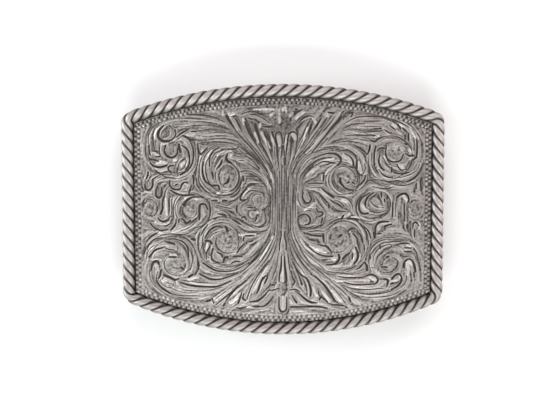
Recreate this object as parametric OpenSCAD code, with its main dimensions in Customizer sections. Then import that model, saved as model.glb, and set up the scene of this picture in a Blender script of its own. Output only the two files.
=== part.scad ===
// A western belt buckle with a rope edge and cast scrolls, lying on its back with its face up.
// X runs across the face, Y up the face as worn, Z out of the face. The origin is on the
// surface that the buckle rests on, below the middle of the face.

/* [Size] */
// Width over the rope edge
buckle_w = 90; // [84:1:100]
// Height over the rope edge, as worn
buckle_h = 70; // [66:1:78]
// Radius of the arched top and bottom edges
arch_r = 120; // [100:5:180]
// Radius of the outer corners
corner_r = 4.2; // [3.6:0.1:6]
// Radius that the face is bent to, round the waist
bend_r = 210; // [160:5:400]

/* [Face plate] */
// Thickness of the plate inside the rope
plate_t = 2; // [1.8:0.1:2.6]
// Width of the open seam between the rope and the raised field
seam = 0.9; // [0.3:0.1:1.2]
// Height of the cast scrolls above the field
relief_h = 0.42; // [0.2:0.02:0.6]
// Height of the cast leaves above the field
leaf_h = 0.3; // [0.15:0.01:0.5]

/* [Rope edge] */
// Diameter of the rope
rope_d = 3.5; // [2.8:0.1:4]
// Turns that each strand makes on its way round the buckle
rope_turns = 29; // [20:1:36]
// Depth of the grooves between the strands
rope_groove = 0.5; // [0.2:0.05:0.7]

/* [Belt loop] */
// Clear width of the loop, for a strap 38 mm wide
loop_w = 40; // [34:1:44]
// Clear height between the loop's bar and the plate
loop_clear = 5.4; // [4.6:0.1:8]
// Diameter of the loop's wire
loop_wire = 3.2; // [2.4:0.1:4]
// Distance of the loop's bar from the middle of the face
loop_x = 33; // [28:1:36]

/* [Hook] */
// Diameter of the hook's post
hook_d = 3.6; // [3:0.1:4]
// Lean of the post toward the plate's end
hook_lean = 35; // [0:1:40]
// Distance of the post's root from the middle of the face
hook_x = 26; // [22:1:32]
// Radius of the hook's round foot
hook_foot_r = 4; // [3:0.1:5]
// Thickness of the hook's round foot
hook_foot_t = 1.2; // [0.8:0.1:2]
// Radius of the ball between the foot and the post
hook_ball_r = 2.2; // [2.1:0.05:2.6]

/* [Hidden] */

// Joint lines between the pieces, and how far the reliefs' feet reach into the plate
joint = 0.05;
sink = 0.3;

// The rope's underside is pressed flat, and sits in a rebate round the field
rope_r = rope_d / 2;
rope_flat = 0.66 * rope_r;
rebate = rope_flat + joint;
rim_reach = 1.2;
field_reach = -rope_r - seam;

// Steps of a full circle on the bent face, the plan's arches, small round parts and domes
bend_steps = 120;
arch_steps = 120;
round_steps = 48;
dome_steps = 8;

// Points round the rope, on the strands and in the grooves by turns, and rings along a turn
rope_sides = 6;
rope_rings_per_turn = 12;

// The axis that the plate is bent round lies this high, below the resting surface
axis_z = loop_wire + loop_clear - sqrt(pow(bend_r - plate_t, 2) - pow(loop_x, 2));

// Height of the field, of its back and of any sheet between, at a distance x from the middle
function face_z(x, depth = 0) = axis_z + sqrt(pow(bend_r - depth, 2) - x * x);

// Plan of the rope's middle line: two straight sides, two arches and four small corners
side_x = buckle_w / 2 - rope_r;
apex_y = buckle_h / 2 - rope_r;
arch_in = arch_r - rope_r;
corner_in = corner_r - rope_r;
arch_y = apex_y - arch_in;
corner_x = side_x - corner_in;
corner_y = arch_y + sqrt(pow(arch_in - corner_in, 2) - pow(corner_x, 2));
arch_turn = asin(corner_x / (arch_in - corner_in));
arch_len = arch_in * arch_turn * PI / 180;
corner_len = corner_in * (90 - arch_turn) * PI / 180;
quarter_len = arch_len + corner_len + corner_y;

// The loop's legs and feet, and the flat seats on the plate's back
loop_bend = 2.4;
loop_foot_r = 2.3;
loop_foot_t = 0.8;
seat_rim = 0.2;
seat_h = 0.3;
leg_y = (loop_w + loop_wire) / 2;
loop_seat_z = face_z(loop_x + loop_foot_r + seat_rim, plate_t) - seat_h;
hook_seat_z = face_z(hook_x + hook_foot_r + seat_rim, plate_t) - seat_h;

// The scrolls are drawn for a face of this size and stretched to fit another
drawn_w = 90;
drawn_h = 70;
fit_x = buckle_w / drawn_w;
fit_y = buckle_h / drawn_h;

// Columns of the scrolls, all on one half of the face: the stem's root and bend, the eye,
// the outer and inner radius, the angle where the stem joins, the sweep, and the half
// width at the root, where the stem joins and at the eye
ROOT = 0;
BEND = 1;
EYE = 2;
RADII = 3;
START = 4;
SWEEP = 5;
HALF_W = 6;
scrolls = [
    // upper corner
    [[1.6, 8], [13, 22.2], [30.4, 15.2], [6.7, 2.6], 90, -500, [0.3, 1.2, 0.55]],
    // upper inner
    [[2, 5], [6, 14], [16.6, 10.2], [5.9, 2.4], 100, -460, [0.3, 0.9, 0.5]],
    // lower inner
    [[2, -6], [7.5, -17], [16.4, -9], [7, 3.4], -95, 430, [0.3, 1.1, 0.6]],
    // lower corner
    [[1.5, -7.5], [12, -22.6], [29.6, -15.4], [6.9, 2.9], -90, 480, [0.3, 1.2, 0.6]],
    // middle
    [[36.5, -8.5], [24, -6.2], [25.6, -0.3], [4.3, 1.9], -160, -420, [0.3, 0.9, 0.5]],
    // upper bud beside the stem
    [[1.6, -2], [3.2, 5.8], [6.3, 2.7], [2.5, 1], 95, -380, [0.25, 0.45, 0.35]],
    // lower bud beside the stem
    [[1.6, 2], [3, -5.2], [6.7, -2.6], [2.7, 1.1], -95, 380, [0.25, 0.5, 0.35]]
];

// Columns of the leaves: where one starts, bends and ends, and its widest half width
leaves = [
    // upper fan, from the outermost leaf inward
    [[1.3, 8.6], [7.4, 17.6], [15, 27.4], 0.7],
    [[1.3, 9.8], [5.6, 18.6], [12.3, 26.2], 0.7],
    [[1.2, 11.2], [4.2, 19], [9.7, 25.6], 0.65],
    [[1.2, 12.6], [3.3, 19], [7.2, 24.4], 0.6],
    [[1.1, 14], [2.2, 18.6], [4.9, 22.8], 0.55],
    // lower fan, from the outermost leaf inward
    [[1.3, -8.2], [6.6, -16.6], [17.8, -24.6], 0.75],
    [[1.2, -9.6], [4.8, -18.2], [14.2, -25.4], 0.7],
    [[1.1, -11.2], [3.8, -18.8], [10.8, -24.9], 0.7],
    [[1.1, -12.8], [3, -18.6], [7.8, -23.6], 0.65],
    [[1, -14.2], [2.2, -18], [4.8, -21.6], 0.55],
    // plumes beside the stems of the scrolls
    [[4.2, 12.6], [13, 24], [27, 24.4], 0.9],
    [[4.4, 11.2], [12.5, 19.4], [22.6, 16.4], 0.9],
    [[4.2, -11.6], [11.5, -20.4], [23, -18.6], 0.9],
    [[7.2, -18], [16, -24.6], [29.5, -24.9], 0.8],
    // sprigs between the inner scrolls
    [[12.2, 1.2], [16, 4.4], [20.4, 3.6], 0.7],
    [[12, 0.2], [16, 1.2], [20.2, 0.4], 0.6],
    [[12, -0.8], [14.6, -2.4], [18.6, -1.9], 0.55],
    [[7, -6.2], [8.8, -7], [10.6, -6.4], 0.55],
    [[7, -9.4], [9.2, -9.6], [11.2, -8.6], 0.55],
    // sprigs between the corner scroll and the middle one
    [[24.6, 9.6], [23.4, 7.4], [24.2, 4.6], 0.5],
    [[24.9, 5], [29.6, 4.4], [30.8, 8.2], 0.7],
    [[26.2, 5.8], [27, 7.6], [29, 8.2], 0.5],
    [[28.6, -3.6], [30.4, -4.6], [33.4, -4], 0.6],
    // tongues beside the plate's end
    [[33.2, 6.4], [33.4, 1.5], [32.9, -3.6], 1.2],
    [[37.3, 10.2], [37.6, 8], [37, 5], 0.75],
    [[35.2, 8.6], [35.4, 6.8], [35, 4.4], 0.6],
    [[38, -3.8], [38.2, -6], [37.6, -9.4], 0.6],
    // crown at the top
    [[0.7, 25.6], [2.4, 27.6], [4.6, 27.6], 0.6],
    [[1.4, 24.4], [3.8, 26.4], [7, 26.6], 0.6],
    [[1.6, 22.6], [3.4, 21.6], [2.4, 13.4], 0.8],
    // flower at the bottom
    [[1.3, -22.4], [5, -24], [9.6, -26.6], 0.85],
    [[1.2, -24], [3.6, -26.8], [8, -27.3], 0.7],
    [[1.3, -21.2], [2.8, -20.6], [4.2, -19], 0.5]
];

// Leaves on the middle line, which have no twin on the other half
middle_leaves = [
    [[0, 20.6], [0, 0], [0, -19.4], 0.8],
    [[0, 26.2], [0, 27.4], [0, 28.8], 0.6],
    [[0, -24.2], [0, -26.4], [0, -28.8], 0.9]
];

// Columns of the domes: the middle, the half length along X and along Y
domes = [
    [[30.4, 15.2], 1.5, 1.5],
    [[16.6, 10.2], 1.3, 1.3],
    [[16.4, -9], 2, 2],
    [[29.6, -15.4], 1.6, 1.6],
    [[25.6, -0.3], 1.1, 1.1],
    [[37, 0.2], 1.9, 2.1]
];
middle_domes = [
    [[0, 23.6], 1.3, 1.8],
    [[0, -21.8], 1.1, 1.6]
];

// Sections along a stem, a leaf and each this many degrees of a scroll
stem_steps = 5;
leaf_steps = 4;
scroll_step = 28;

// Point at share t of the curve that leaves a toward b and ends at c
function curve_at(a, b, c, t) = pow(1 - t, 2) * a + 2 * t * (1 - t) * b + t * t * c;

// Point at share t of the spiral that winds in to an eye
function spiral_at(row, t) =
    let (r = row[RADII][0] + (row[RADII][1] - row[RADII][0]) * t)
    let (a = row[START] + row[SWEEP] * t)
    row[EYE] + r * [cos(a), sin(a)];

// Middle line of a scroll as [point, half width], the stem first and the spiral after it
function scroll_line(row) =
    let (n = ceil(abs(row[SWEEP]) / scroll_step))
    let (w = row[HALF_W])
    concat(
        [for (i = [0 : stem_steps - 1])
            let (t = i / stem_steps)
            [curve_at(row[ROOT], row[BEND], spiral_at(row, 0), t), w[0] + (w[1] - w[0]) * t]],
        [for (i = [0 : n])
            [spiral_at(row, i / n), w[1] + (w[2] - w[1]) * i / n]]
    );

// Middle line of a leaf, which swells toward its end and closes to a point
function leaf_line(row) =
    [for (i = [0 : leaf_steps])
        let (t = i / leaf_steps)
        let (swell = sin(180 * pow(t, 1.3)))
        [curve_at(row[0], row[1], row[2], t), row[3] * max(0.15, pow(max(swell, 0), 0.8))]];

// Unit vector across a middle line at its point i
function across(line, i) =
    let (a = line[max(i - 1, 0)][0])
    let (b = line[min(i + 1, len(line) - 1)][0])
    let (d = (b - a) / norm(b - a))
    [-d[1], d[0]];

// Point of the face at plan point p, raised by h above the field
function on_face(p, h) = [p[0] * fit_x, p[1] * fit_y, face_z(p[0] * fit_x) + h];

// Point along the first quarter of the rope's middle line, from the top's middle, with
// the angle of the outward normal from Y
function quarter_at(s) =
    s < arch_len
        ? let (a = s / arch_in * 180 / PI)
            [arch_in * sin(a), arch_y + arch_in * cos(a), a]
        : s < arch_len + corner_len
        ? let (a = arch_turn + (s - arch_len) / corner_in * 180 / PI)
            [corner_x + corner_in * sin(a), corner_y + corner_in * cos(a), a]
        : [side_x, quarter_len - s, 90];

// Point and outward normal at length s round the whole line, clockwise from the top
function rope_at(s) =
    let (left = s > 2 * quarter_len)
    let (half = left ? 4 * quarter_len - s : s)
    let (low = half > quarter_len)
    let (q = quarter_at(low ? 2 * quarter_len - half : half))
    let (sx = left ? -1 : 1)
    let (sy = low ? -1 : 1)
    [[sx * q[0], sy * q[1]], [sx * sin(q[2]), sy * cos(q[2])]];

// Plan of the buckle, this far outside the rope's middle line
module outline(reach) {
    offset(r = corner_in + reach, $fn = round_steps)
        offset(delta = -corner_in)
            intersection() {
                square([2 * side_x, 2 * apex_y], center = true);
                translate([0, arch_y])
                    circle(r = arch_in, $fn = arch_steps);
                translate([0, -arch_y])
                    circle(r = arch_in, $fn = arch_steps);
            }
}

// Bent sheet between two depths below the field, wider than the buckle
module bent_sheet(top, bottom) {
    translate([0, 0, axis_z])
        rotate([90, 0, 0])
            difference() {
                cylinder(r = bend_r - top, h = 2 * buckle_h, center = true, $fn = bend_steps);
                cylinder(r = bend_r - bottom, h = 3 * buckle_h, center = true, $fn = bend_steps);
            }
}

// Upright block inside an outline
module upright(reach) {
    linear_extrude(height = buckle_w)
        outline(reach);
}

// Plan of the band along a middle line of [point, half width]
module band(line) {
    last = len(line) - 1;
    left = [for (i = [0 : last]) line[i][0] + across(line, i) * line[i][1]];
    right = [for (i = [0 : last]) line[last - i][0] - across(line, last - i) * line[last - i][1]];
    polygon(concat(left, right));
}

// Plan drawn on the face, raised by h above the field
module raised(h) {
    intersection() {
        bent_sheet(-h, sink);
        linear_extrude(height = buckle_w)
            scale([fit_x, fit_y])
                children();
    }
}

// Low dome on the face
module dome(row) {
    p = row[0];
    translate(on_face(p, -sink))
        hull() {
            scale([row[1], row[2], 1])
                cylinder(r = 1, h = sink + 0.4 * relief_h, $fn = dome_steps);
            scale([0.6 * row[1], 0.6 * row[2], 1])
                cylinder(r = 1, h = sink + 1.1 * relief_h, $fn = dome_steps);
        }
}

module both_halves() {
    children();
    mirror([1, 0, 0])
        children();
}

// Flat round seat on the back of the plate for a foot of radius r, let into the plate
module seat(x, y, z, r) {
    top_z = face_z(abs(x) - r, plate_t) + sink;
    translate([x, y, z])
        cylinder(r = r + seat_rim, h = top_z - z, $fn = round_steps);
}

module face_plate() {
    color([0.62, 0.61, 0.59]) {
        // bent plate, cut down round the field to a thin rim that the rope lies on
        difference() {
            intersection() {
                bent_sheet(0, plate_t);
                upright(rim_reach);
            }
            difference() {
                bent_sheet(-rope_d, rebate);
                upright(field_reach);
            }
        }
        // cast scrollwork, the same on both halves, with the leaves lower than the scrolls
        raised(relief_h)
            both_halves()
                for (row = scrolls)
                    band(scroll_line(row));
        raised(leaf_h) {
            both_halves()
                for (row = leaves)
                    band(leaf_line(row));
            for (row = middle_leaves)
                band(leaf_line(row));
        }
        both_halves()
            for (row = domes)
                dome(row);
        for (row = middle_domes)
            dome(row);
        // seats for the loop's feet and the hook's foot
        for (side = [-1, 1])
            seat(loop_x, side * leg_y, loop_seat_z, loop_foot_r);
        seat(-hook_x, 0, hook_seat_z, hook_foot_r);
    }
}

// Three strands twisted together, laid round the plate's rim as one closed ring
module rope_edge() {
    rings = rope_turns * rope_rings_per_turn;
    points = [
        for (k = [0 : rings - 1])
            let (at = rope_at(4 * quarter_len * k / rings))
            let (lean = asin(at[0][0] / bend_r))
            let (out = [at[1][0] * cos(lean), at[1][1], -at[1][0] * sin(lean)])
            let (up = [sin(lean), 0, cos(lean)])
            for (j = [0 : rope_sides - 1])
                let (r = j % 2 == 0 ? rope_r : rope_r - rope_groove)
                let (a = 360 * j / rope_sides - 360 * k / rope_rings_per_turn)
                [at[0][0], at[0][1], face_z(at[0][0])]
                    + r * cos(a) * out + max(r * sin(a), -rope_flat) * up
    ];
    faces = [
        for (k = [0 : rings - 1])
            for (j = [0 : rope_sides - 1])
                let (a = k * rope_sides)
                let (b = ((k + 1) % rings) * rope_sides)
                let (n = (j + 1) % rope_sides)
                each [[a + j, b + n, a + n], [a + j, b + j, b + n]]
    ];
    color([0.78, 0.77, 0.74])
        polyhedron(points, faces);
}

// Fixed wire loop that the strap is folded round: a bar, two bent corners, two legs with feet
module belt_loop() {
    bar_z = loop_wire / 2;
    bend_y = leg_y - loop_bend;
    leg_z = bar_z + loop_bend;
    foot_z = loop_seat_z - joint - loop_foot_t;
    color([0.7, 0.7, 0.68])
        translate([loop_x, 0, 0]) {
            translate([0, 0, bar_z])
                rotate([90, 0, 0])
                    cylinder(d = loop_wire, h = 2 * bend_y, center = true, $fn = round_steps);
            for (side = [0, 180])
                rotate([0, 0, side])
                    translate([0, bend_y, leg_z])
                        rotate([0, 90, 0])
                            rotate_extrude(angle = 90, $fn = round_steps)
                                translate([loop_bend, 0])
                                    circle(d = loop_wire, $fn = round_steps);
            for (side = [-1, 1])
                translate([0, side * leg_y, leg_z])
                    cylinder(d = loop_wire, h = foot_z - leg_z, $fn = round_steps);
            for (side = [-1, 1])
                translate([0, side * leg_y, foot_z])
                    cylinder(r = loop_foot_r, h = loop_foot_t, $fn = round_steps);
        }
}

// Fixed post that goes through a hole in the strap's free end: a foot, a ball let into it
// and the leaning post with its round tip
module hook_post() {
    foot_z = hook_seat_z - joint - hook_foot_t;
    ball_z = foot_z + hook_foot_t - hook_ball_r;
    reach = (ball_z - hook_d / 2) / cos(hook_lean);
    color([0.7, 0.7, 0.68]) {
        translate([-hook_x, 0, foot_z])
            cylinder(r = hook_foot_r, h = hook_foot_t, $fn = round_steps);
        translate([-hook_x, 0, ball_z])
            rotate([0, 180 + hook_lean, 0]) {
                sphere(r = hook_ball_r, $fn = round_steps);
                cylinder(d = hook_d, h = reach, $fn = round_steps);
                translate([0, 0, reach])
                    sphere(d = hook_d, $fn = round_steps);
            }
    }
}

face_plate();
rope_edge();
belt_loop();
hook_post();
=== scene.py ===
"""The looks of the belt buckle: engraved face, rope edge, metal, floor, light and camera."""

import math

import bpy
import numpy as np
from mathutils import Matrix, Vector


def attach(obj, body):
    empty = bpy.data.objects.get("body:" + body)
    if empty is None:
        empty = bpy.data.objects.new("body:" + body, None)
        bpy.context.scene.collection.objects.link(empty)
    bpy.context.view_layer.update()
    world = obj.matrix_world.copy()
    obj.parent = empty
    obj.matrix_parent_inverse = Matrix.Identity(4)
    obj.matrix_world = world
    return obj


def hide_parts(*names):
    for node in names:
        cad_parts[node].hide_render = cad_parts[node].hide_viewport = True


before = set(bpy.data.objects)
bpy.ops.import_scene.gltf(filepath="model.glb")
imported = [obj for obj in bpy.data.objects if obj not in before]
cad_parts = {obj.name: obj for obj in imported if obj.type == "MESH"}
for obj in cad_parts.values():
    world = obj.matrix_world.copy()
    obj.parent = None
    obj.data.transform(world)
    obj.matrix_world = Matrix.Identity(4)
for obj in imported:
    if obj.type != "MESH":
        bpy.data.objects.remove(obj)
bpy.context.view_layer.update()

# Sizes are in millimetres here and are turned into metres where meshes and lamps are made.
# u is the distance from the buckle's middle to either side, x the same with a sign, y goes up
# the face as worn and z out of it. A side is -1 for the left half and 1 for the right one.
MM = 0.001
BEND_R = 210.0          # radius that the face is bent to
FACE_Z = 13.2345        # height of the face's middle above the floor
PLATE_T = 2.0           # thickness of the plate
RIM_DEPTH = 1.205       # how far the thin rim under the rope lies below the face
RIM_REACH = 1.2         # how far the rim reaches outside the rope's middle line
FIELD_U = 41.3          # half the width of the raised field
FIELD_ARC_R = 116.3     # radius of the field's arched edges
ARC_Y = -85.0           # centre of the arched edges
ROPE_R = 1.75           # radius of the rope
ROPE_FLAT = 1.155       # how far below its middle line its underside is pressed flat
ROPE_TURNS = 29
ROPE_ARC_R = 118.25     # rope's middle line: arches, straight sides and corners
ROPE_SIDE_X = 43.25
ROPE_CORNER_R = 2.45


def face_z(x, depth=0.0):
    """Height of the bent face, or of a surface at a depth below it."""
    return FACE_Z - BEND_R + np.sqrt((BEND_R - depth) ** 2 - x * x)


def field_half_height(u):
    return ARC_Y + np.sqrt(FIELD_ARC_R**2 - u * u)


# Relief of the face: heights and widths
LEAF_TOP = 0.36         # height of the leaves over the bottom of the cuts
CUT_DEPTH, CUT_SHOULDER = 1.0, 0.38      # share of that height, and width of the rounded side
LINE_DEPTH, LINE_SHOULDER = 0.65, 0.28
CUT_REACH = 3.2         # how far out the distance from a cut is worked out
NO_CUT = 9.0            # distance from a cut where there is none within that reach
CREST_FADE = 0.3        # width over which a crest's side fades
DOME_RISE = 0.2
DOME_RING, DOME_RING_DEPTH = 0.22, 0.12
CURVE_STEP = 0.6        # length of the pieces that a curve is drawn with
# lit rim and fine line along each cut: distance from the cut and half width
CUT_RIM, CUT_ECHO = (0.2, 0.16), (0.62, 0.22)
FAR_FROM_CUT = 0.8      # where the hatching begins to grow weaker
RISE = {"crest": 0.13, "swell": 0.05, "rim": 0.03, "grain": 0.045}
SINK = {"hatch": 0.085, "echo": 0.07}

# Relief of the face: how much each thing darkens or brightens it
DARKER = {"hatch": 0.33, "calm": 0.3, "boss": 0.17}
# painted highlights on the lit rims; on the crests polish together with a painted highlight
BRIGHTER = {"crest": 0.36, "swell": 0.08, "rim": 0.1, "grain": 0.1}
GROUND_TONE, CUT_TONE, CUT_TONE_POWER = 0.2, 0.9, 1.7
# painted light: the lower part of the face is coloured brighter
LOW_LIGHT, LOW_LIGHT_Y, LOW_LIGHT_SPAN = 0.14, -6, 16     # the lower part is brighter
# darker places: x, y, radius and how much darker
SHADES = [
    (0.6, 23.6, 3.3, 0.34), (2.5, 27.2, 3, 0.1), (-5.5, 23, 8, 0.16),
    (0, -21.5, 1.4, 0.22), (-3, 8, 11, 0.08),
]
# places with shallower cuts: x, y, half width, half height and how much shallower
CALM = [(0, 3, 5, 10, 0.62), (-13, 21.5, 7, 4.5, 0.38), (14, 21, 7.5, 4.5, 0.35)]

# Hatching between the cuts, worked out on a grid over the whole face. Each kind has the width of
# its lines in millimetres and half their length in cells.
HATCH_SEED = 11
HATCH_CELL, HATCH_SIZE = 0.165, (510, 378)
HATCH_FINE, HATCH_WIDE, HATCH_GRAIN = (0.13, 14), (0.34, 20), (0.17, 0)
FLOW_REACH = [(1.0, 0.5), (1.0, 1.3), (0.3, 4.0)]    # weights and widths in millimetres
FLOW_RING = 1.3         # the rings that stand for the domes are this much wider
SPECK_FLATTEN = 4.5     # changes of the lines over more than this many widths are taken out
SPECK_EVEN = 3          # width in millimetres over which their strength is made even

# Beads along the edge of the field
BEAD_ROWS = [0.42, 1.3]    # distance of each row from the field's edge
BEAD_ROW_HALF = 0.43
BEAD_HALF_LENGTH, BEAD_FLATNESS = 0.37, 0.85
TOP_PITCH, LOW_PITCH, SIDE_PITCH = 1.22, 1.34, {-1: 1.39, 1: 1.24}    # from bead to bead
BEAD_GROUND, BEAD_RISE, PIT_DEPTH, PIT_HALF_LENGTH = 0.2, 0.12, 0.08, 0.27
BEAD_TONE, PIT_TONE, BEAD_GROUND_TONE = 0.5, 0.22, 0.4
# partly patina, partly painted shade of the rope: darker along the field's edge next to the rope
EDGE_TONE, EDGE_FADE = 0.08, 0.9
INNER_TONE, INNER_PLACE, INNER_HALF = 0.14, 2.4, 1.0      # darker band inside the beads

# Ornament, drawn from the photo. A cut is a tapering stroke between raised leaves: its
# half widths from end to end, of which WIDTH_UNITS make a millimetre, then the points (u, y) that
# it runs through. A line is a fine engraved cut, with the half widths FINE.
WIDTH_UNITS = 116
FINE = (4, 10, 4)
# the feathers that fan out from the foot of the stem
FEATHERS = [
    [(1.2, -5.4), (1.6, -8.6), (3, -13), (6, -17.6)],
    [(1.55, -5), (2.1, -8.3), (4.4, -13.4), (8.6, -18.6)],
    [(2.1, -5), (2.7, -7.9), (5.6, -13.6), (11, -19.4)],
    [(2.7, -4.6), (3.4, -7.5), (7, -14), (13.4, -19.6)],
]

BOTH_CUTS = [
    # stem
    [(5, 18, 12), (0.45, 12.6), (0.5, 15), (0.2, 18)],
    [(6, 16, 20, 12), (0.42, -12.8), (0.5, -15.6), (0.9, -18), (1.05, -20)],
    [(8, 12, 8), (0.95, 2), (0.95, -0.5), (0.95, -3)],
    [(8, 14, 8), (0.5, -5.8), (0.45, -7.2), (0.9, -9.4), (0.9, -11)],
    [(6, 10, 6), (0.9, 11), (0.95, 8), (0.9, 4)],
    # pendant leaf at the bottom and the crown over the stem
    [(6, 14, 16, 12), (1.05, -24.2), (1.1, -26.6), (0.9, -28), (0, -28.6)],
]

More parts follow.
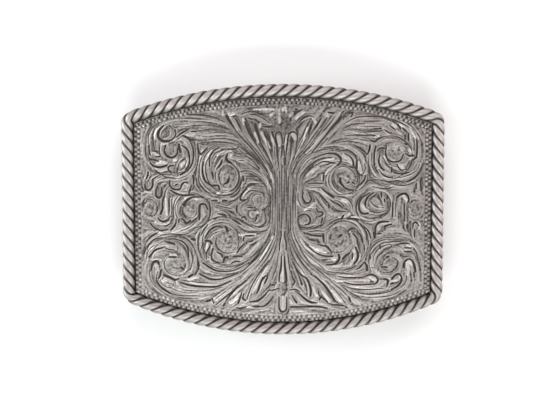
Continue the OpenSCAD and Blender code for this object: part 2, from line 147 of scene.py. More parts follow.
LEFT_CUTS = [
    [(6, 11, 5), (2.1, 19.4), (1.9, 21.2), (1.15, 21.8), (0.5, 21.3), (0.3, 20.2), (0.2, 18.6)],
    # fan beside the stem, top
    [(30, 40, 5), (7.6, 24), (7.2, 22.3), (6.2, 19.1)],
    [(35, 40, 5), (15.5, 26.2), (14.6, 24.6), (12.9, 22.2)],
    [(8, 22, 5), (5.3, 22), (5, 21), (4.4, 19.8)], [(20, 25, 5), (3, 21.8), (2.8, 20.9), (2.3, 19.6)],
    [(12, 26, 5), (10.6, 24.6), (9.9, 23), (9.2, 21.2)],
    [(12, 26, 5), (13, 25.4), (12.3, 24), (11.2, 21.8)],
    [(5, 20, 10), (2.1, 20.4), (1.9, 19.2), (1.7, 18)], [(5, 16, 5), (3, 23.4), (4.2, 23.2), (5.6, 23.3)],
    [(5, 14, 5), (7.4, 26.6), (9, 26.6)], [(5, 12, 5), (8.4, 25.2), (9.6, 25.6)],
    # inner scroll, top
    [(8, 18, 8), (12.2, 17.7), (13, 17.1), (17, 17)],
    [(10, 20, 10), (17.6, 17.4), (19, 16.6), (20.2, 14.6), (20.3, 12.2)],
    [(10, 30, 25), (15.1, 15.9), (15.6, 15), (15.4, 13.9), (14.4, 13.2)],
    [(15, 20, 5), (16.8, 14), (17.2, 12.8), (18.4, 11.4)],
    [(10, 22, 10), (20.8, 17.4), (22, 16.1), (22.7, 15.5), (23.3, 16.4), (23.5, 18.4)],
    [(10, 22, 22, 15), (22, 13.4), (22.2, 10.6), (21.6, 8.4), (19.9, 6.9), (18, 6.9), (17.5, 5.8)],
    [(15, 22, 10), (19.6, 10.6), (19.3, 9.4), (19.3, 8.6)],
    [(10, 16, 10), (14.9, 8.8), (15.2, 7.8), (16, 7.5)], [(15, 22, 15), (10.9, 9.6), (10.9, 8.2)],
    [(4, 12, 4), (9.2, 11), (10.6, 11), (12, 10.8)],
    [(10, 22, 20), (9.9, 6.1), (11, 5), (11.8, 3.4), (11.4, 2.8), (10.4, 3)],
    [(8, 20, 10), (11.6, 6.4), (12.4, 5), (13.6, 4), (14.6, 3.7)],
    [(20, 30, 25), (15.5, 2.7), (16.6, 2.7)], [(10, 16, 10), (18.2, 2.7), (19.6, 2.8)],
    [(15, 22, 10), (12.7, 1.4), (12.8, 0.2), (12.7, -0.8)], [(5, 14, 5), (8.4, 0.8), (9.8, 0.9)],
    # corner scroll, top
    [(10, 20, 10), (25.8, 19.4), (24.9, 17.4), (24.7, 15), (25.1, 12.8), (26.4, 11), (28.4, 9.8)],
    [(10, 20, 10), (27.9, 17.9), (26.4, 16.8), (25.8, 14.8), (25.9, 12.6), (26.8, 11.2)],
    [(25, 35, 20), (28.7, 18.1), (28.7, 17.2), (28.2, 16.1)],
    [(4, 14, 18, 8), (29.2, 17.2), (29.3, 15.4), (30.6, 14.5), (32, 14.8), (32.8, 16.2), (32.4, 17.8)],
    [(10, 20, 10), (29.2, 11.6), (29.2, 10.6)],
    [(10, 20, 15), (30.2, 12.3), (31.4, 12.2), (31.8, 11.2), (31, 10.4)],
    [(10, 22, 10), (32, 12.4), (33.6, 11.8), (35.6, 11.9), (36.8, 12.8)],
    [(5, 20, 10), (34.3, 13.4), (35.6, 13.7), (37, 14.1)], [(10, 15, 5), (34, 14.8), (35.4, 14.6)],
    [(10, 20, 10), (37, 17.8), (37.1, 16.4), (36.8, 15)],
    [(15, 22, 10), (37.4, 10.4), (37.5, 9.4), (38, 8.4)],
    [(12, 15, 35, 40, 15), (29.7, 22.2), (29.6, 20.8), (30.8, 19.4), (33, 19), (34.4, 20), (34.3, 21.8),
     (33, 23.3)],
    [(10, 20, 10), (26, 22.4), (27.6, 21.6), (29.4, 20.2)], [(10, 15, 10), (23.8, 21.8), (25.2, 21.8)],
    [(10, 16, 10), (24, 19.5), (25.8, 19.6), (27.6, 20.7)],
    # between the corner scroll and the middle
    [(20, 26, 10), (24.9, 9.6), (24.7, 8.6), (24.7, 7.4)],
    [(6, 14, 14), (25.2, 7), (25.6, 5.8), (26.1, 4.4)],
    [(10, 20, 20, 10), (26.3, 7.4), (27.2, 7.7), (28, 7), (28.4, 5.9), (30, 5.6), (31.2, 6.4), (31.4, 8)],
    [(6, 16, 10), (24.6, 4.3), (27, 4.1), (29.4, 4.3), (31.2, 5.4)],
    [(10, 18, 10), (29.2, 7.1), (29.8, 6.9)],
    [(6, 14, 35, 40), (22, 3.5), (24.8, 3.6), (26.4, 2.8), (27.4, 1.4)],
    [(10, 20, 25, 20), (20.8, 0.2), (21.6, 1.6), (22.8, 1.6), (23.2, 0.2), (23.1, -2.6)],
    [(6, 20, 26), (33.1, 3.6), (33.5, 1.6), (33.4, 0.2), (34, -1.2)],
    [(15, 25, 25, 15), (33.6, 6.2), (33.8, 3.8), (34.6, 3.2), (35.3, 3.8), (35.3, 5.6)],
    [(10, 15, 10), (36.2, 8.4), (36.2, 6.4), (37.2, 5.3), (38.2, 5.6), (38.5, 7)],
    [(5, 12, 5), (30.9, 3), (30.9, 0), (31, -2)],
    # fan beside the stem, bottom
    [(5, 20, 30, 12), (5.6, -18.6), (6.2, -20.4), (6.8, -22.4), (7.3, -23.2)],
    [(10, 25, 10), (4.6, -18.2), (5.6, -19.2), (5.9, -19.8)],
    [(5, 16, 10), (4.2, -17.4), (4.4, -19), (5, -20.4)],
    [(5, 10, 5), (3.5, -20.4), (3.8, -21.3), (4.7, -22.1)], [(5, 20, 10), (2.2, -20.9), (3.4, -20.9)],
    [(5, 16, 5), (1.2, -21.8), (2.6, -22.3), (4.2, -22.5)],
    [(5, 24, 26, 5), (3.6, -22), (5.2, -24), (7, -25.4), (9.2, -25.8)],
    [(5, 20, 5), (2.6, -24), (3.6, -25.6), (5.2, -26.9), (6.4, -27)],
    [(10, 20, 10), (6.4, -27), (8.6, -27)], [(5, 18, 5), (10, -27.1), (12, -27.6), (13, -27.4)],
    [(5, 12, 8), (3.9, -14), (6.8, -18), (8.8, -21.6), (10, -25)],
    [(10, 20, 15), (10.9, -23.4), (11.2, -24.8), (10.4, -25.3)],
    [(5, 15, 25), (11.4, -23), (12, -25), (12.4, -26)],
    [(10, 30, 25, 5), (12.6, -21.4), (14, -23), (15.4, -24.8), (16, -25.6)],
    [(10, 20, 10), (16.2, -26.2), (16.6, -27)],
    [(5, 14, 5), (10, -19.6), (13, -22), (16, -24.4), (18.6, -26.6)],
    [(10, 18, 10), (19.8, -24.8), (19.3, -26.2)], [(20, 30, 10), (20.2, -25.4), (21.6, -25.8)],
    [(5, 14, 5), (3.2, -8), (6.4, -12.4), (9.6, -15.6), (12, -17.6)],
    [(5, 16, 5), (5.6, -10.2), (7.2, -12.8), (9.6, -15)],
    # inner scroll, bottom
    [(5, 20, 10), (11.8, -4), (13, -3.2), (14, -2.6)], [(10, 25, 10), (15.6, -2), (16.2, -1.4), (18, -1)],
    [(5, 12, 5), (14.4, -1.6), (15.8, -0.4), (17.6, 0.1)], [(12, 20, 10), (18.4, -2.2), (19, -2.4)],
    [(10, 30, 30), (16, -4.4), (15.6, -5.2), (15.3, -5.8)],
    [(5, 14, 10), (16.8, -4.8), (18.6, -4.6), (20.2, -5.6), (21.6, -7.8)],
    [(25, 30, 25), (21.4, -8.6), (20.2, -8.8), (19.8, -9.4)],
    [(20, 26, 10), (19.5, -10.8), (19.8, -12.2), (19.8, -14)],
    [(6, 20, 10), (20.4, -10.4), (21.2, -11.8), (21.2, -13.6)],
    [(10, 20, 15), (18.4, -11.8), (17.2, -12.4), (16.8, -13.2)],
    [(30, 35, 10), (15.4, -13.2), (16.2, -13.4), (16.6, -14.6)],
    [(10, 18, 10), (11.2, -12.9), (13.8, -12.9)],
    [(5, 20, 10), (11.8, -14.4), (13.2, -14.3), (14.2, -14.8)],
    [(5, 20, 10), (10.8, -9.4), (12, -10.6), (12.6, -11.8)], [(10, 20, 10), (10.8, -7.4), (11, -8.6)],
    [(10, 18, 10), (8, -7), (10.4, -7.1)], [(8, 18, 8), (8.2, -8.4), (9.4, -8.8)],
    [(5, 16, 16), (9, -14.4), (13.6, -16.8), (18.4, -17), (22.2, -15)],
    [(5, 10, 28, 20), (12.4, -17.6), (17, -19.3), (20, -19.4), (22, -18.7), (23.2, -18)],
    [(5, 20, 20, 30, 5), (14.4, -19.8), (18.4, -21.5), (22, -21.6), (26, -21.3), (28.4, -20.6)],
    [(10, 20, 10), (23.6, -14.6), (23.5, -16.4), (24.3, -18)], [(10, 25, 10), (25.2, -18.2), (26.4, -19)],
    # corner scroll, bottom
    [(10, 20, 10), (26.3, -13.4), (26.4, -11), (27.4, -9.4), (28.6, -8.6)],
    [(20, 30, 10), (30.2, -9.7), (31.2, -9.4), (32.8, -9.1)],
    [(10, 20, 25, 20), (33.4, -10.8), (35.4, -11.4), (36.6, -12.6), (37.4, -13.6)],
    [(10, 30, 30, 10), (34.7, -15.6), (34.9, -14.9), (36, -14.8), (36.6, -15.8), (37, -17.6)],
    [(10, 30, 15), (34, -17), (34.3, -18.8), (34.8, -19.6)],
    [(10, 25, 25, 10), (29, -19.4), (30.2, -19.9), (31.6, -19.2), (33.4, -18.6)],
    [(5, 15, 5), (35, -17.6), (35.4, -20), (34, -22.2), (31.6, -23.8)],
    [(10, 16, 10), (29.8, -13.4), (31.8, -13.4)], [(15, 28, 15), (27.6, -16.8), (28.4, -16.2)],
    [(30, 35, 20), (24.5, -8.4), (25.5, -8.2)],
    [(28, 18, 14), (25.8, -3.1), (26.8, -3.8), (27.6, -2.8), (28.2, -2.6)],
    [(10, 25, 15), (29.7, -2.6), (29.8, -4), (30.6, -5.2), (31.2, -5.8)],
    [(10, 18, 10), (28.8, -2.6), (28.9, -3.6)],
    [(5, 20, 22, 20, 5), (31.2, -1.6), (31.8, -2.8), (33, -3.4), (34.2, -3.2), (34.8, -2.4)],
    [(5, 14, 5), (32, -5.6), (34, -6), (36, -5.2), (37, -4)],
    [(5, 14, 5), (34.6, -6.4), (36.6, -7.6), (38.2, -9.2)],
    [(5, 15, 5), (20.8, -4), (21.8, -5.4), (22.6, -7)], [(10, 20, 10), (7.2, -2), (7.6, -2.9)],
    [(10, 20, 15), (10.2, -2.6), (10.6, -1.8), (11.4, -2)],
]

BOTH_LINES = [
    # reeds of the stem
    [(0.35, 11.5), (0.4, 4), (0.35, -5)], [(1.6, 12), (1.45, 4), (1.5, -5.4)],
    [(2.3, 11), (2.05, 3), (2.1, -5.4)], [(3.2, 9.6), (2.75, 2.4), (2.9, -5)],
    [(4, 8), (3.4, 2), (3.6, -3.6)],
]
LEFT_LINES = [
    # outlines of the scrolls
    [(37.2, 18.6), (37.4, 15.4), (36, 11.6), (33, 9.3), (29.6, 8.7), (26.6, 9.6)],
    [(12.4, 16.4), (15, 18.2), (18.8, 18), (21.6, 16), (23, 12.6), (22.8, 8.8), (20.8, 5.8), (17.4, 4.2),
     (14, 4.6), (11.8, 6.8), (11.2, 9.6)],
    [(13, 15.2), (15.6, 16.6), (18.6, 16.2), (20.8, 14), (21.4, 11), (20.6, 7.8), (18.4, 5.6), (15.6, 5),
     (13.2, 6.4), (12.2, 8.8), (12.6, 11.4), (14.4, 13)],
    [(10.6, -4.8), (13.4, -2.6), (17, -1.8), (20.6, -3), (23, -6), (23.6, -10), (22.2, -13.8), (19, -16.2),
     (15, -16.6), (11, -15)],
    [(11.6, -6.8), (13.6, -4.2), (16.8, -3.4), (20, -4.4), (22, -7), (22.2, -10.4), (20.6, -13.4),
     (17.6, -14.9)],
    [(24.6, -18.4), (23.8, -14.8), (24.6, -11), (27, -8), (30.6, -6.9), (34.4, -7.6), (37.4, -10.2),
     (38.2, -14)],
    [(25.8, -17), (25.2, -13.6), (26.6, -10.2), (29.6, -8.4), (33, -8.8), (35.8, -11), (36.8, -14)],
    [(20.4, 2.6), (20, -0.6), (21.4, -3.8), (25, -5.2)],
    [(21.6, 3.4), (24.6, 4.8), (28, 3.8), (29.8, 1), (29.4, -2.2), (27, -4)],
    # top fan
    [(2.4, 12.6), (3.6, 16.4), (4.6, 19.6)], [(2.7, 12), (4.4, 15.6), (6.2, 19)],
    [(3, 11.4), (5.6, 15.6), (9.2, 21)], [(3.2, 10.8), (6.4, 15.4), (11.2, 21.6)],
    [(3.4, 10.2), (7.4, 15.8), (13, 22.1)], [(3.7, 9.8), (8.4, 16), (14.6, 22)],
    [(1.9, 13), (2.3, 16), (2.3, 19.4)], [(3.6, 24.2), (5.6, 25.6), (7.6, 26.4)],
    [(7.4, 27.5), (9, 27.5), (11.6, 26.6)],
    # plume
    [(12.6, 18.4), (17, 19), (22.6, 18.8)], [(12.2, 19.2), (16, 19.9), (20.6, 19.7)],
    [(12.6, 20.2), (16.6, 20.7), (22.4, 20.4)], [(13.6, 21.2), (17, 21.7), (21.4, 21.2)],
    [(15.6, 22.2), (19.6, 22.5), (23.4, 22)], [(17.4, 23.1), (22, 23.6), (28.4, 23)],
    [(18, 24), (22, 24.5), (25.6, 24.4)], [(19.4, 25), (24, 25.4), (28, 25.3)],
    [(3.9, 9.2), (7.4, 14), (12.4, 18.4)], [(4.1, 8.7), (7.6, 13), (12.2, 17)],
    [(16, 24.4), (20, 26), (27, 26.4), (32, 25.4), (35, 23.6), (36.8, 21)],
    # inner scroll, top
    [(17.2, 16.6), (18.6, 15.8), (19.6, 14.2), (19.6, 12.8)],
    [(14.6, 17), (15.6, 16.4), (17.4, 15.4), (18.4, 13.8)], [(20.6, 18.5), (22, 18.3), (23.6, 18.7)],
    [(18.5, 11), (18.6, 9.8), (18.5, 8.6)], [(23.4, 9.6), (23.2, 7.6), (21.6, 5.6), (20, 4.6)],
    [(24, 9), (23.7, 6.8), (22.4, 5)],
    [(12.9, 13.2), (12.3, 11.4), (12, 9.6), (12.4, 7.4), (13.8, 5.6), (16, 4.8)],
    [(11.6, 9.6), (11.9, 7.2), (13, 5.4)], [(10.6, 13.9), (12.4, 13.9)],
    [(7, 9.4), (9, 9.6), (10.6, 9.6)], [(5.4, 7.4), (7.4, 7.6), (9.2, 7.6)],
    [(4.4, 8.2), (6.6, 11), (10.4, 13.6)], [(4.4, 7.6), (6.4, 9.6), (9, 11)],
    [(3.2, 7.8), (5, 12), (9.6, 15.6), (12.2, 15.8)], [(3.4, 7), (5, 10.8), (8.6, 14.4), (12.6, 15)],
    [(7, 5.4), (8.8, 5.6), (10.2, 4.6), (10.8, 3.6)], [(20.2, 5), (18, 4.2), (15, 4.2), (13.4, 4.6)],
    # corner scroll, top
    [(24.9, 20), (24.1, 17.6), (24, 14.6), (24.4, 12), (25.8, 10.2)],
    [(33.9, 18.4), (34.2, 16.6), (34, 14.6)],
    [(26.6, 13.8), (27, 12.2), (28.2, 11), (29, 11.4), (28.8, 12.8), (27.8, 14)],
    [(34.2, 16.2), (35.6, 16.2), (36.8, 16.4)], [(30.4, 13.2), (31.6, 13.2), (32.2, 12.6)],
    [(29.8, 9.6), (32, 9.8), (34.6, 9.4), (36.6, 8)], [(30, 9), (32.6, 8.8), (34.8, 8)],
    [(28.6, 23.2), (29.8, 22.9), (30.6, 23.6)], [(35.4, 22.6), (36, 20.6), (35.8, 18.6), (35.6, 16.8)],
    [(33.4, 24.4), (35.4, 23.4), (37, 21), (37.2, 18.6)], [(31.6, 22), (31.4, 20.8), (32.4, 20.2)],
    # middle
    [(24, 1.2), (23.9, -1), (25, -2.2)], [(28.4, 1), (28.6, -1), (27.6, -2.4)],
    [(20.3, 1.4), (20.2, -1.6), (21.6, -4), (24.6, -6)], [(28.8, 4.2), (30, 2.4), (30.4, 0), (30.2, -3)],
    [(35.2, 1.8), (34.9, -0.4), (35.8, -1.8)], [(36, 2.6), (37.6, 2.8), (38.4, 1.6)],
    [(31.6, 6.6), (32.6, 5.2), (32.9, 3.4)], [(3.6, 4.8), (3, 3), (3.8, 1.4), (5.6, 1)],
    [(4.6, 4.2), (4.2, 3), (5, 2)], [(6, 4.4), (7.6, 4.6), (8.6, 3.2), (8, 1.8)],
    [(13.8, 2.2), (15.4, 1.4), (17, 1.6)], [(14, 0.4), (16, 0.8), (18.4, 1.4)],
    # bottom fan
    *FEATHERS, [(5.2, -9.6), (8, -12.4), (11.4, -14)], [(12, -20.6), (15.6, -23.2), (18.6, -25.8)],
    [(14.2, -21.4), (17, -23.6), (19.4, -25.4)], [(1.3, -12), (1.8, -16), (3, -19.4)],
    # inner scroll, bottom
    [(12.2, -7.4), (13, -5.4), (15, -4)], [(17.4, -5.8), (19.4, -6.6), (20.4, -8)],
    [(22, -9), (22.8, -11), (22.6, -13.4)], [(18, -14.6), (19.4, -15), (20.8, -14)],
    [(7.6, -6.2), (10, -6.2)], [(12.6, -10.6), (12.2, -8.6), (12.8, -6.4)],
    [(13.6, -11.6), (15.4, -12), (17.4, -11.4), (18.6, -9.6), (18.4, -7.6)],
    [(6.6, -10.4), (9.4, -13.6), (13.4, -15.6), (18, -15.8), (21.4, -14.2)],
    [(10.6, -16.6), (14, -17.8), (18, -17.8), (20.4, -17.2)],
    [(13, -18.8), (17.4, -20.6), (22, -20.5), (26, -20.2), (28.4, -19.9)],
    [(17, -21.6), (21, -22.6), (26, -22.8), (29, -22.2)],
    [(24, -23.2), (27, -23.4), (30, -22.8), (32, -21.4)],
    [(24, -24.2), (28, -24.3), (31, -23.8), (33.6, -22.2)],
    # corner scroll, bottom
    [(24.4, -13.6), (24.8, -10.6), (26.4, -8.4), (28.8, -7.6)],
    [(30.2, -11.4), (32, -11.2), (33.4, -10.4)], [(29.4, -10.4), (29.2, -11.8)],
    [(32.6, -9.8), (35.4, -10), (37.6, -11.8), (38.2, -14.2)], [(33.4, -8), (36, -8.6), (38, -10.6)],
    [(30.6, -21), (31, -22), (32.6, -22), (34, -20.8), (34.2, -19.8)],
    [(37.4, -17), (37, -20), (35, -22.6), (32, -24.4)],
    [(31.8, -13.4), (33, -14.6), (33, -16.6), (31.6, -18.2), (29.6, -18.6)],
    [(25.4, -14.6), (25.6, -16.2), (27, -17.6)], [(30.9, -2.8), (32, -4.4), (34, -4.6)],
    [(23.8, -3), (25.8, -4.8), (28.6, -6)], [(24.4, -5.4), (27, -6.8), (29.4, -7)],
    [(4.4, -0.6), (3.6, -2.2), (4.4, -4), (6, -4.6)], [(3.2, -3), (4.2, -5.2), (6.4, -6)],
    [(6.4, -5.4), (8.6, -4.6), (10.6, -3.4)],
]

RIGHT_CUTS = [
    # stem and the fan beside it, top
    [(15, 20, 10), (1.5, 20.4), (1.1, 18), (0.8, 15), (0.8, 12.8)],
    [(10, 16, 10, 5), (1.2, 19.6), (1.7, 21.3), (2.7, 21.9), (3.6, 21.5), (4, 20.6)],
    [(5, 16, 6), (4.2, 24), (5.6, 25.6), (7.4, 26.2), (8.6, 25.8)],
    [(5, 12, 30, 20), (8, 16.2), (10.8, 19.6), (13.4, 23), (15.2, 25), (16, 26)],
    [(10, 22, 5), (7.9, 24), (7.7, 22.8), (7, 21.2)], [(10, 20, 5), (10.4, 25.4), (9.6, 24), (8.6, 22.4)],
    [(8, 18, 5), (12.2, 25.8), (11.4, 24.6), (10.2, 22.8)], [(10, 20, 10), (12.4, 27.2), (14, 26.9)],
    [(10, 20, 10), (17.8, 26.8), (19.2, 27), (18.6, 25.8)], [(15, 20, 10), (3.4, 28.1), (4, 28)],
    [(5, 14, 5), (24.2, 19.5), (25.4, 19), (26.6, 20)],
    # inner scroll, top
    [(4, 10, 28, 35, 15), (8, 14.2), (11, 15.6), (14, 15.8), (15.6, 14.9), (16, 13.7), (15.2, 12.6)],
    [(4, 16, 8), (9, 12.6), (11, 13.6), (13, 13.4), (14.4, 13)],
    [(10, 16, 10), (17, 15.8), (18.4, 15), (19.4, 13.6), (19.6, 12)],
    [(5, 12, 5), (17.6, 17), (19.4, 15.8), (20.3, 14.2)],
    [(10, 35, 30), (20.4, 14), (20.4, 13), (20.3, 11.6)],
    [(5, 15, 10), (20.4, 11.4), (20.8, 10.2), (22, 9.6)],
    [(15, 22, 10), (22.8, 9.6), (22.5, 8.4), (21.6, 7.4), (20.4, 6.4)],
    [(5, 14, 14, 5), (20.2, 17.8), (21.6, 17), (22.8, 16), (23.2, 15.3)],
    [(20, 25, 10), (24, 18), (23.9, 16.8), (23.2, 15.4)],
    [(15, 25, 20, 15), (15.9, 9), (15.9, 7.8), (16.6, 6.8), (18, 5.8), (19.4, 5.6)],
    [(10, 16, 10), (18.4, 12.2), (19.4, 11.8)], [(10, 15, 10), (17.8, 7.6), (18.4, 7.9)],
    [(10, 15, 10), (19.2, 7.8), (19.8, 7.4)], [(20, 25, 10), (11.2, 9.8), (11.2, 8.4)],
    [(10, 15, 10), (10.6, 10.4), (11.6, 10.4)], [(10, 18, 10), (7, 7.5), (9, 7.6), (11, 7.5)],
    [(15, 25, 30), (10.8, 6), (12.2, 4.9), (14, 3.7)],
    [(5, 14, 5), (5.6, 5), (5.4, 3.6), (6.4, 2.2), (7.4, 2.4), (7.8, 3.4), (7.2, 4.4)],
    # middle
    [(10, 20, 10), (12.6, 1.6), (12.8, 0.6)],
    [(10, 22, 18, 10), (9.2, 0.6), (9.8, -0.4), (10.8, -0.4), (11, -1.2), (10, -1.8)],
    [(10, 20, 10), (11, -2), (10.6, -3.4)],
    [(10, 22, 22, 20), (24, 4.8), (21.9, 3.4), (21.1, 1.6), (21.3, -0.2), (22.4, -1.1), (23.6, -0.9)],
    [(5, 20, 15), (25.2, 4.8), (23.8, 3.9), (23, 2.6), (22.9, 1.4)],
    [(10, 20, 10), (27.2, 4.8), (27.4, 3.4)], [(10, 20, 10), (28.2, 3), (28.2, 2.2)],
    [(10, 16, 10), (29, 4), (29, 3)],
    [(15, 25, 15), (31.8, 3.4), (32.8, 4.2), (34.2, 4.3), (35, 3), (34.9, 2)],
    [(10, 18, 10), (30.5, 2), (30.5, -2)], [(10, 18, 15), (33.8, 1.6), (33.8, -1), (33.9, -3.4)],
    [(15, 20, 10), (37.1, 7.2), (37.1, 5.6)], [(5, 14, 5), (34.4, 7.6), (36.6, 8.8), (38, 10.4)],
    # corner scroll, top
    [(10, 16, 10), (25.6, 17.8), (25.2, 15.6), (25.3, 12.4)],
    [(10, 25, 15), (26.8, 15.2), (26.5, 13.6), (27, 12), (28, 11)],
    [(10, 18, 10), (26, 16.4), (27, 17.2), (28.4, 17)],
    [(5, 14, 10), (26.4, 11.4), (27.6, 9.8), (29.2, 9), (30.4, 9)],
    [(4, 14, 18, 8), (28.6, 18), (28.4, 15), (30, 13.4), (32.4, 13.6), (33.4, 15.4)],
    [(15, 20, 10), (34.8, 21.2), (34.8, 19.2)], [(10, 15, 10), (33.8, 20.8), (33.8, 19.4)],
    [(10, 20, 10), (37, 19.6), (37.2, 17), (37.1, 14.4)], [(5, 14, 5), (27.8, 22.4), (29.4, 21.2)],
    [(5, 14, 5), (29.4, 23.4), (31.2, 22)], [(5, 14, 5), (31.4, 23.8), (32.6, 22.4)],
    [(5, 14, 5), (33, 22.8), (34.4, 21.4)], [(10, 20, 10), (33.6, 18.4), (34.4, 18)],
    [(10, 20, 10), (34, 15.6), (35, 14.9), (36.4, 15)], [(10, 16, 10), (36.2, 13.8), (37, 14.6)],
    [(10, 16, 10), (30.1, 11.8), (30, 10.4)], [(10, 15, 10), (30.8, 10.3), (32.8, 9.9), (35, 10.3)],
    [(5, 14, 5), (31.6, 12.6), (32.6, 11), (34.4, 11.2)],
    # leaves under the middle
    [(8, 14, 24, 8), (4.3, -1.7), (5.3, -1), (6.7, -1.2), (7.6, -2.5), (7.2, -3.7), (6.2, -3.9)],
    [(5, 15, 5), (7, -5.9), (9.4, -5.7), (11.6, -5.8)],
    [(5, 20, 20), (6.6, -6.4), (8.4, -7), (11.2, -7.1)], [(20, 28, 10), (11.2, -6.7), (11.3, -8.8)],
    [(5, 18, 8), (7, -8), (8.8, -8.5)],
    [(5, 20, 20, 10), (9.6, -9.4), (11, -9.9), (12.2, -10.2), (13.6, -12)],
    [(4, 10, 22, 20), (6.2, -9.4), (9, -11.8), (11.6, -12.8), (13.8, -12.9)],
    # inner scroll, bottom
    [(20, 35, 20, 10), (15.5, -12.4), (15.7, -13.6), (14.6, -15), (12, -15.3)],
    [(5, 14, 5), (10.8, -13.8), (12.4, -13.8)], [(15, 25, 10), (16.6, -13.8), (17.4, -12.8), (18.6, -12)],
    [(10, 20, 10), (19.4, -12.2), (19.3, -13.8)],
    [(15, 30, 20), (20.2, -10.4), (20.9, -12.2), (20.8, -13.8), (20, -15)],
    [(10, 18, 10), (22, -8), (22.1, -9.2)], [(10, 20, 15), (18, -6), (18.8, -5.2), (19.8, -5.1)],
    [(10, 20, 10), (15.6, -7.4), (16.4, -6.8)], [(5, 15, 5), (20.6, -6), (21.6, -7.2), (21.8, -8.6)],
    [(5, 12, 5), (19.4, -6.6), (20.6, -8), (20.6, -9.6)],
    [(15, 20, 15), (18, -2.4), (19.6, -2.4), (20.8, -2.9)],
    [(5, 14, 5), (22.4, -4.4), (23.8, -6), (24.4, -8)], [(15, 22, 10), (16.2, -2.4), (16.8, -1.4)],
    [(5, 20, 10), (20.4, -16.8), (21.6, -16), (22.6, -14.8)],
    [(10, 25, 25), (22.6, -14.6), (23.4, -15.6), (23.5, -17)],
    [(4, 20, 14, 16, 16, 16, 8), (15.4, -18.6), (18, -19), (22, -19), (24.2, -18.3), (25.6, -18.6),
     (26.6, -19.8), (26, -20.8), (24.4, -21), (20, -21), (17, -20.2)],
    # corner scroll, bottom
    [(10, 20, 20, 20, 15), (25.8, -7), (25.7, -5.2), (26.4, -3.8), (27.8, -3.4), (29.4, -3.4)],
    [(10, 20, 15), (28.4, -5.8), (28.4, -4.8), (29.4, -4.3), (30.2, -4.2)],
    [(15, 22, 10), (26.2, -6.7), (27.4, -6.7)], [(15, 25, 10), (25.2, -6.4), (25.6, -7.8)],
    [(20, 30, 20), (34.7, -4.4), (34.7, -5.4)],
    [(10, 20, 20, 10), (36.2, -5.6), (36.4, -4), (37.2, -3.8), (38, -4.8)],
    [(5, 15, 5), (36.7, -5.6), (36.7, -8)], [(10, 20, 10), (31.4, -10), (33.6, -9.6), (35.4, -9.8)],
    [(10, 20, 10), (34, -12), (36, -12)], [(5, 14, 5), (33.8, -10.9), (36, -11)],
    [(30, 25, 15, 15, 25, 15), (33.8, -16.4), (34, -15), (34.8, -14.2), (36, -14.3), (36.7, -15.6),
     (37.2, -17.8)],
    [(15, 20, 10), (36.7, -18), (36.8, -19.4)],
    [(15, 30, 25, 10), (28.2, -19.5), (29.3, -19.8), (29.4, -20.6), (29, -21.8)],
    [(20, 28, 15, 25, 10), (30.4, -19.6), (31.4, -18.6), (32.4, -18.2), (33.2, -19.2), (33.2, -20.4),
     (32, -21.8), (30.4, -22.6)],
    [(10, 20, 10), (30.2, -21), (31, -20.8)], [(20, 28, 20), (29, -13.4), (29.4, -13.2)],
    [(10, 15, 10), (27.6, -16.2), (29, -16.2)], [(10, 20, 10), (24.3, -13), (24.4, -13.7)],
    [(10, 20, 10), (27, -10), (27.2, -11)],
    # fan beside the stem, bottom
    [(4, 10, 25, 15), (2.4, -16.8), (2.6, -18.6), (3.3, -20), (2.8, -20.9)],
    [(4, 12, 30), (3.4, -16), (4.6, -18.8), (5.3, -20.8)],
    [(5, 10, 20, 25, 20), (2.6, -14.4), (4.4, -17.4), (6.4, -19), (7.4, -21), (7.8, -23), (7.6, -24)],
    [(5, 16, 5), (2, -22.3), (3.6, -22.2), (4.8, -22.9)],
    [(5, 10, 25, 30, 10), (3.4, -22.6), (4.8, -23.6), (6.4, -25), (7.8, -25.8), (9.6, -26)],
    [(4, 10, 25), (2.6, -23.8), (3.2, -25), (3.8, -25.8)],
    [(5, 12, 30, 30, 10), (7.6, -17.8), (9.4, -19), (11.4, -20.8), (13, -23), (14.6, -25.6)],
    [(5, 14, 5), (9.9, -22.6), (10.2, -24), (12.4, -25.6)], [(10, 25, 10), (10.6, -24.2), (10.2, -25.2)],
    [(15, 25, 15), (18.4, -24.4), (18.9, -25.8)],
    [(15, 20, 25, 10), (2.2, -27.1), (6, -27.1), (10, -27.1), (12.4, -27.6)],
    [(5, 22, 10), (13.6, -26.6), (15.4, -26.7), (17, -27)],
]

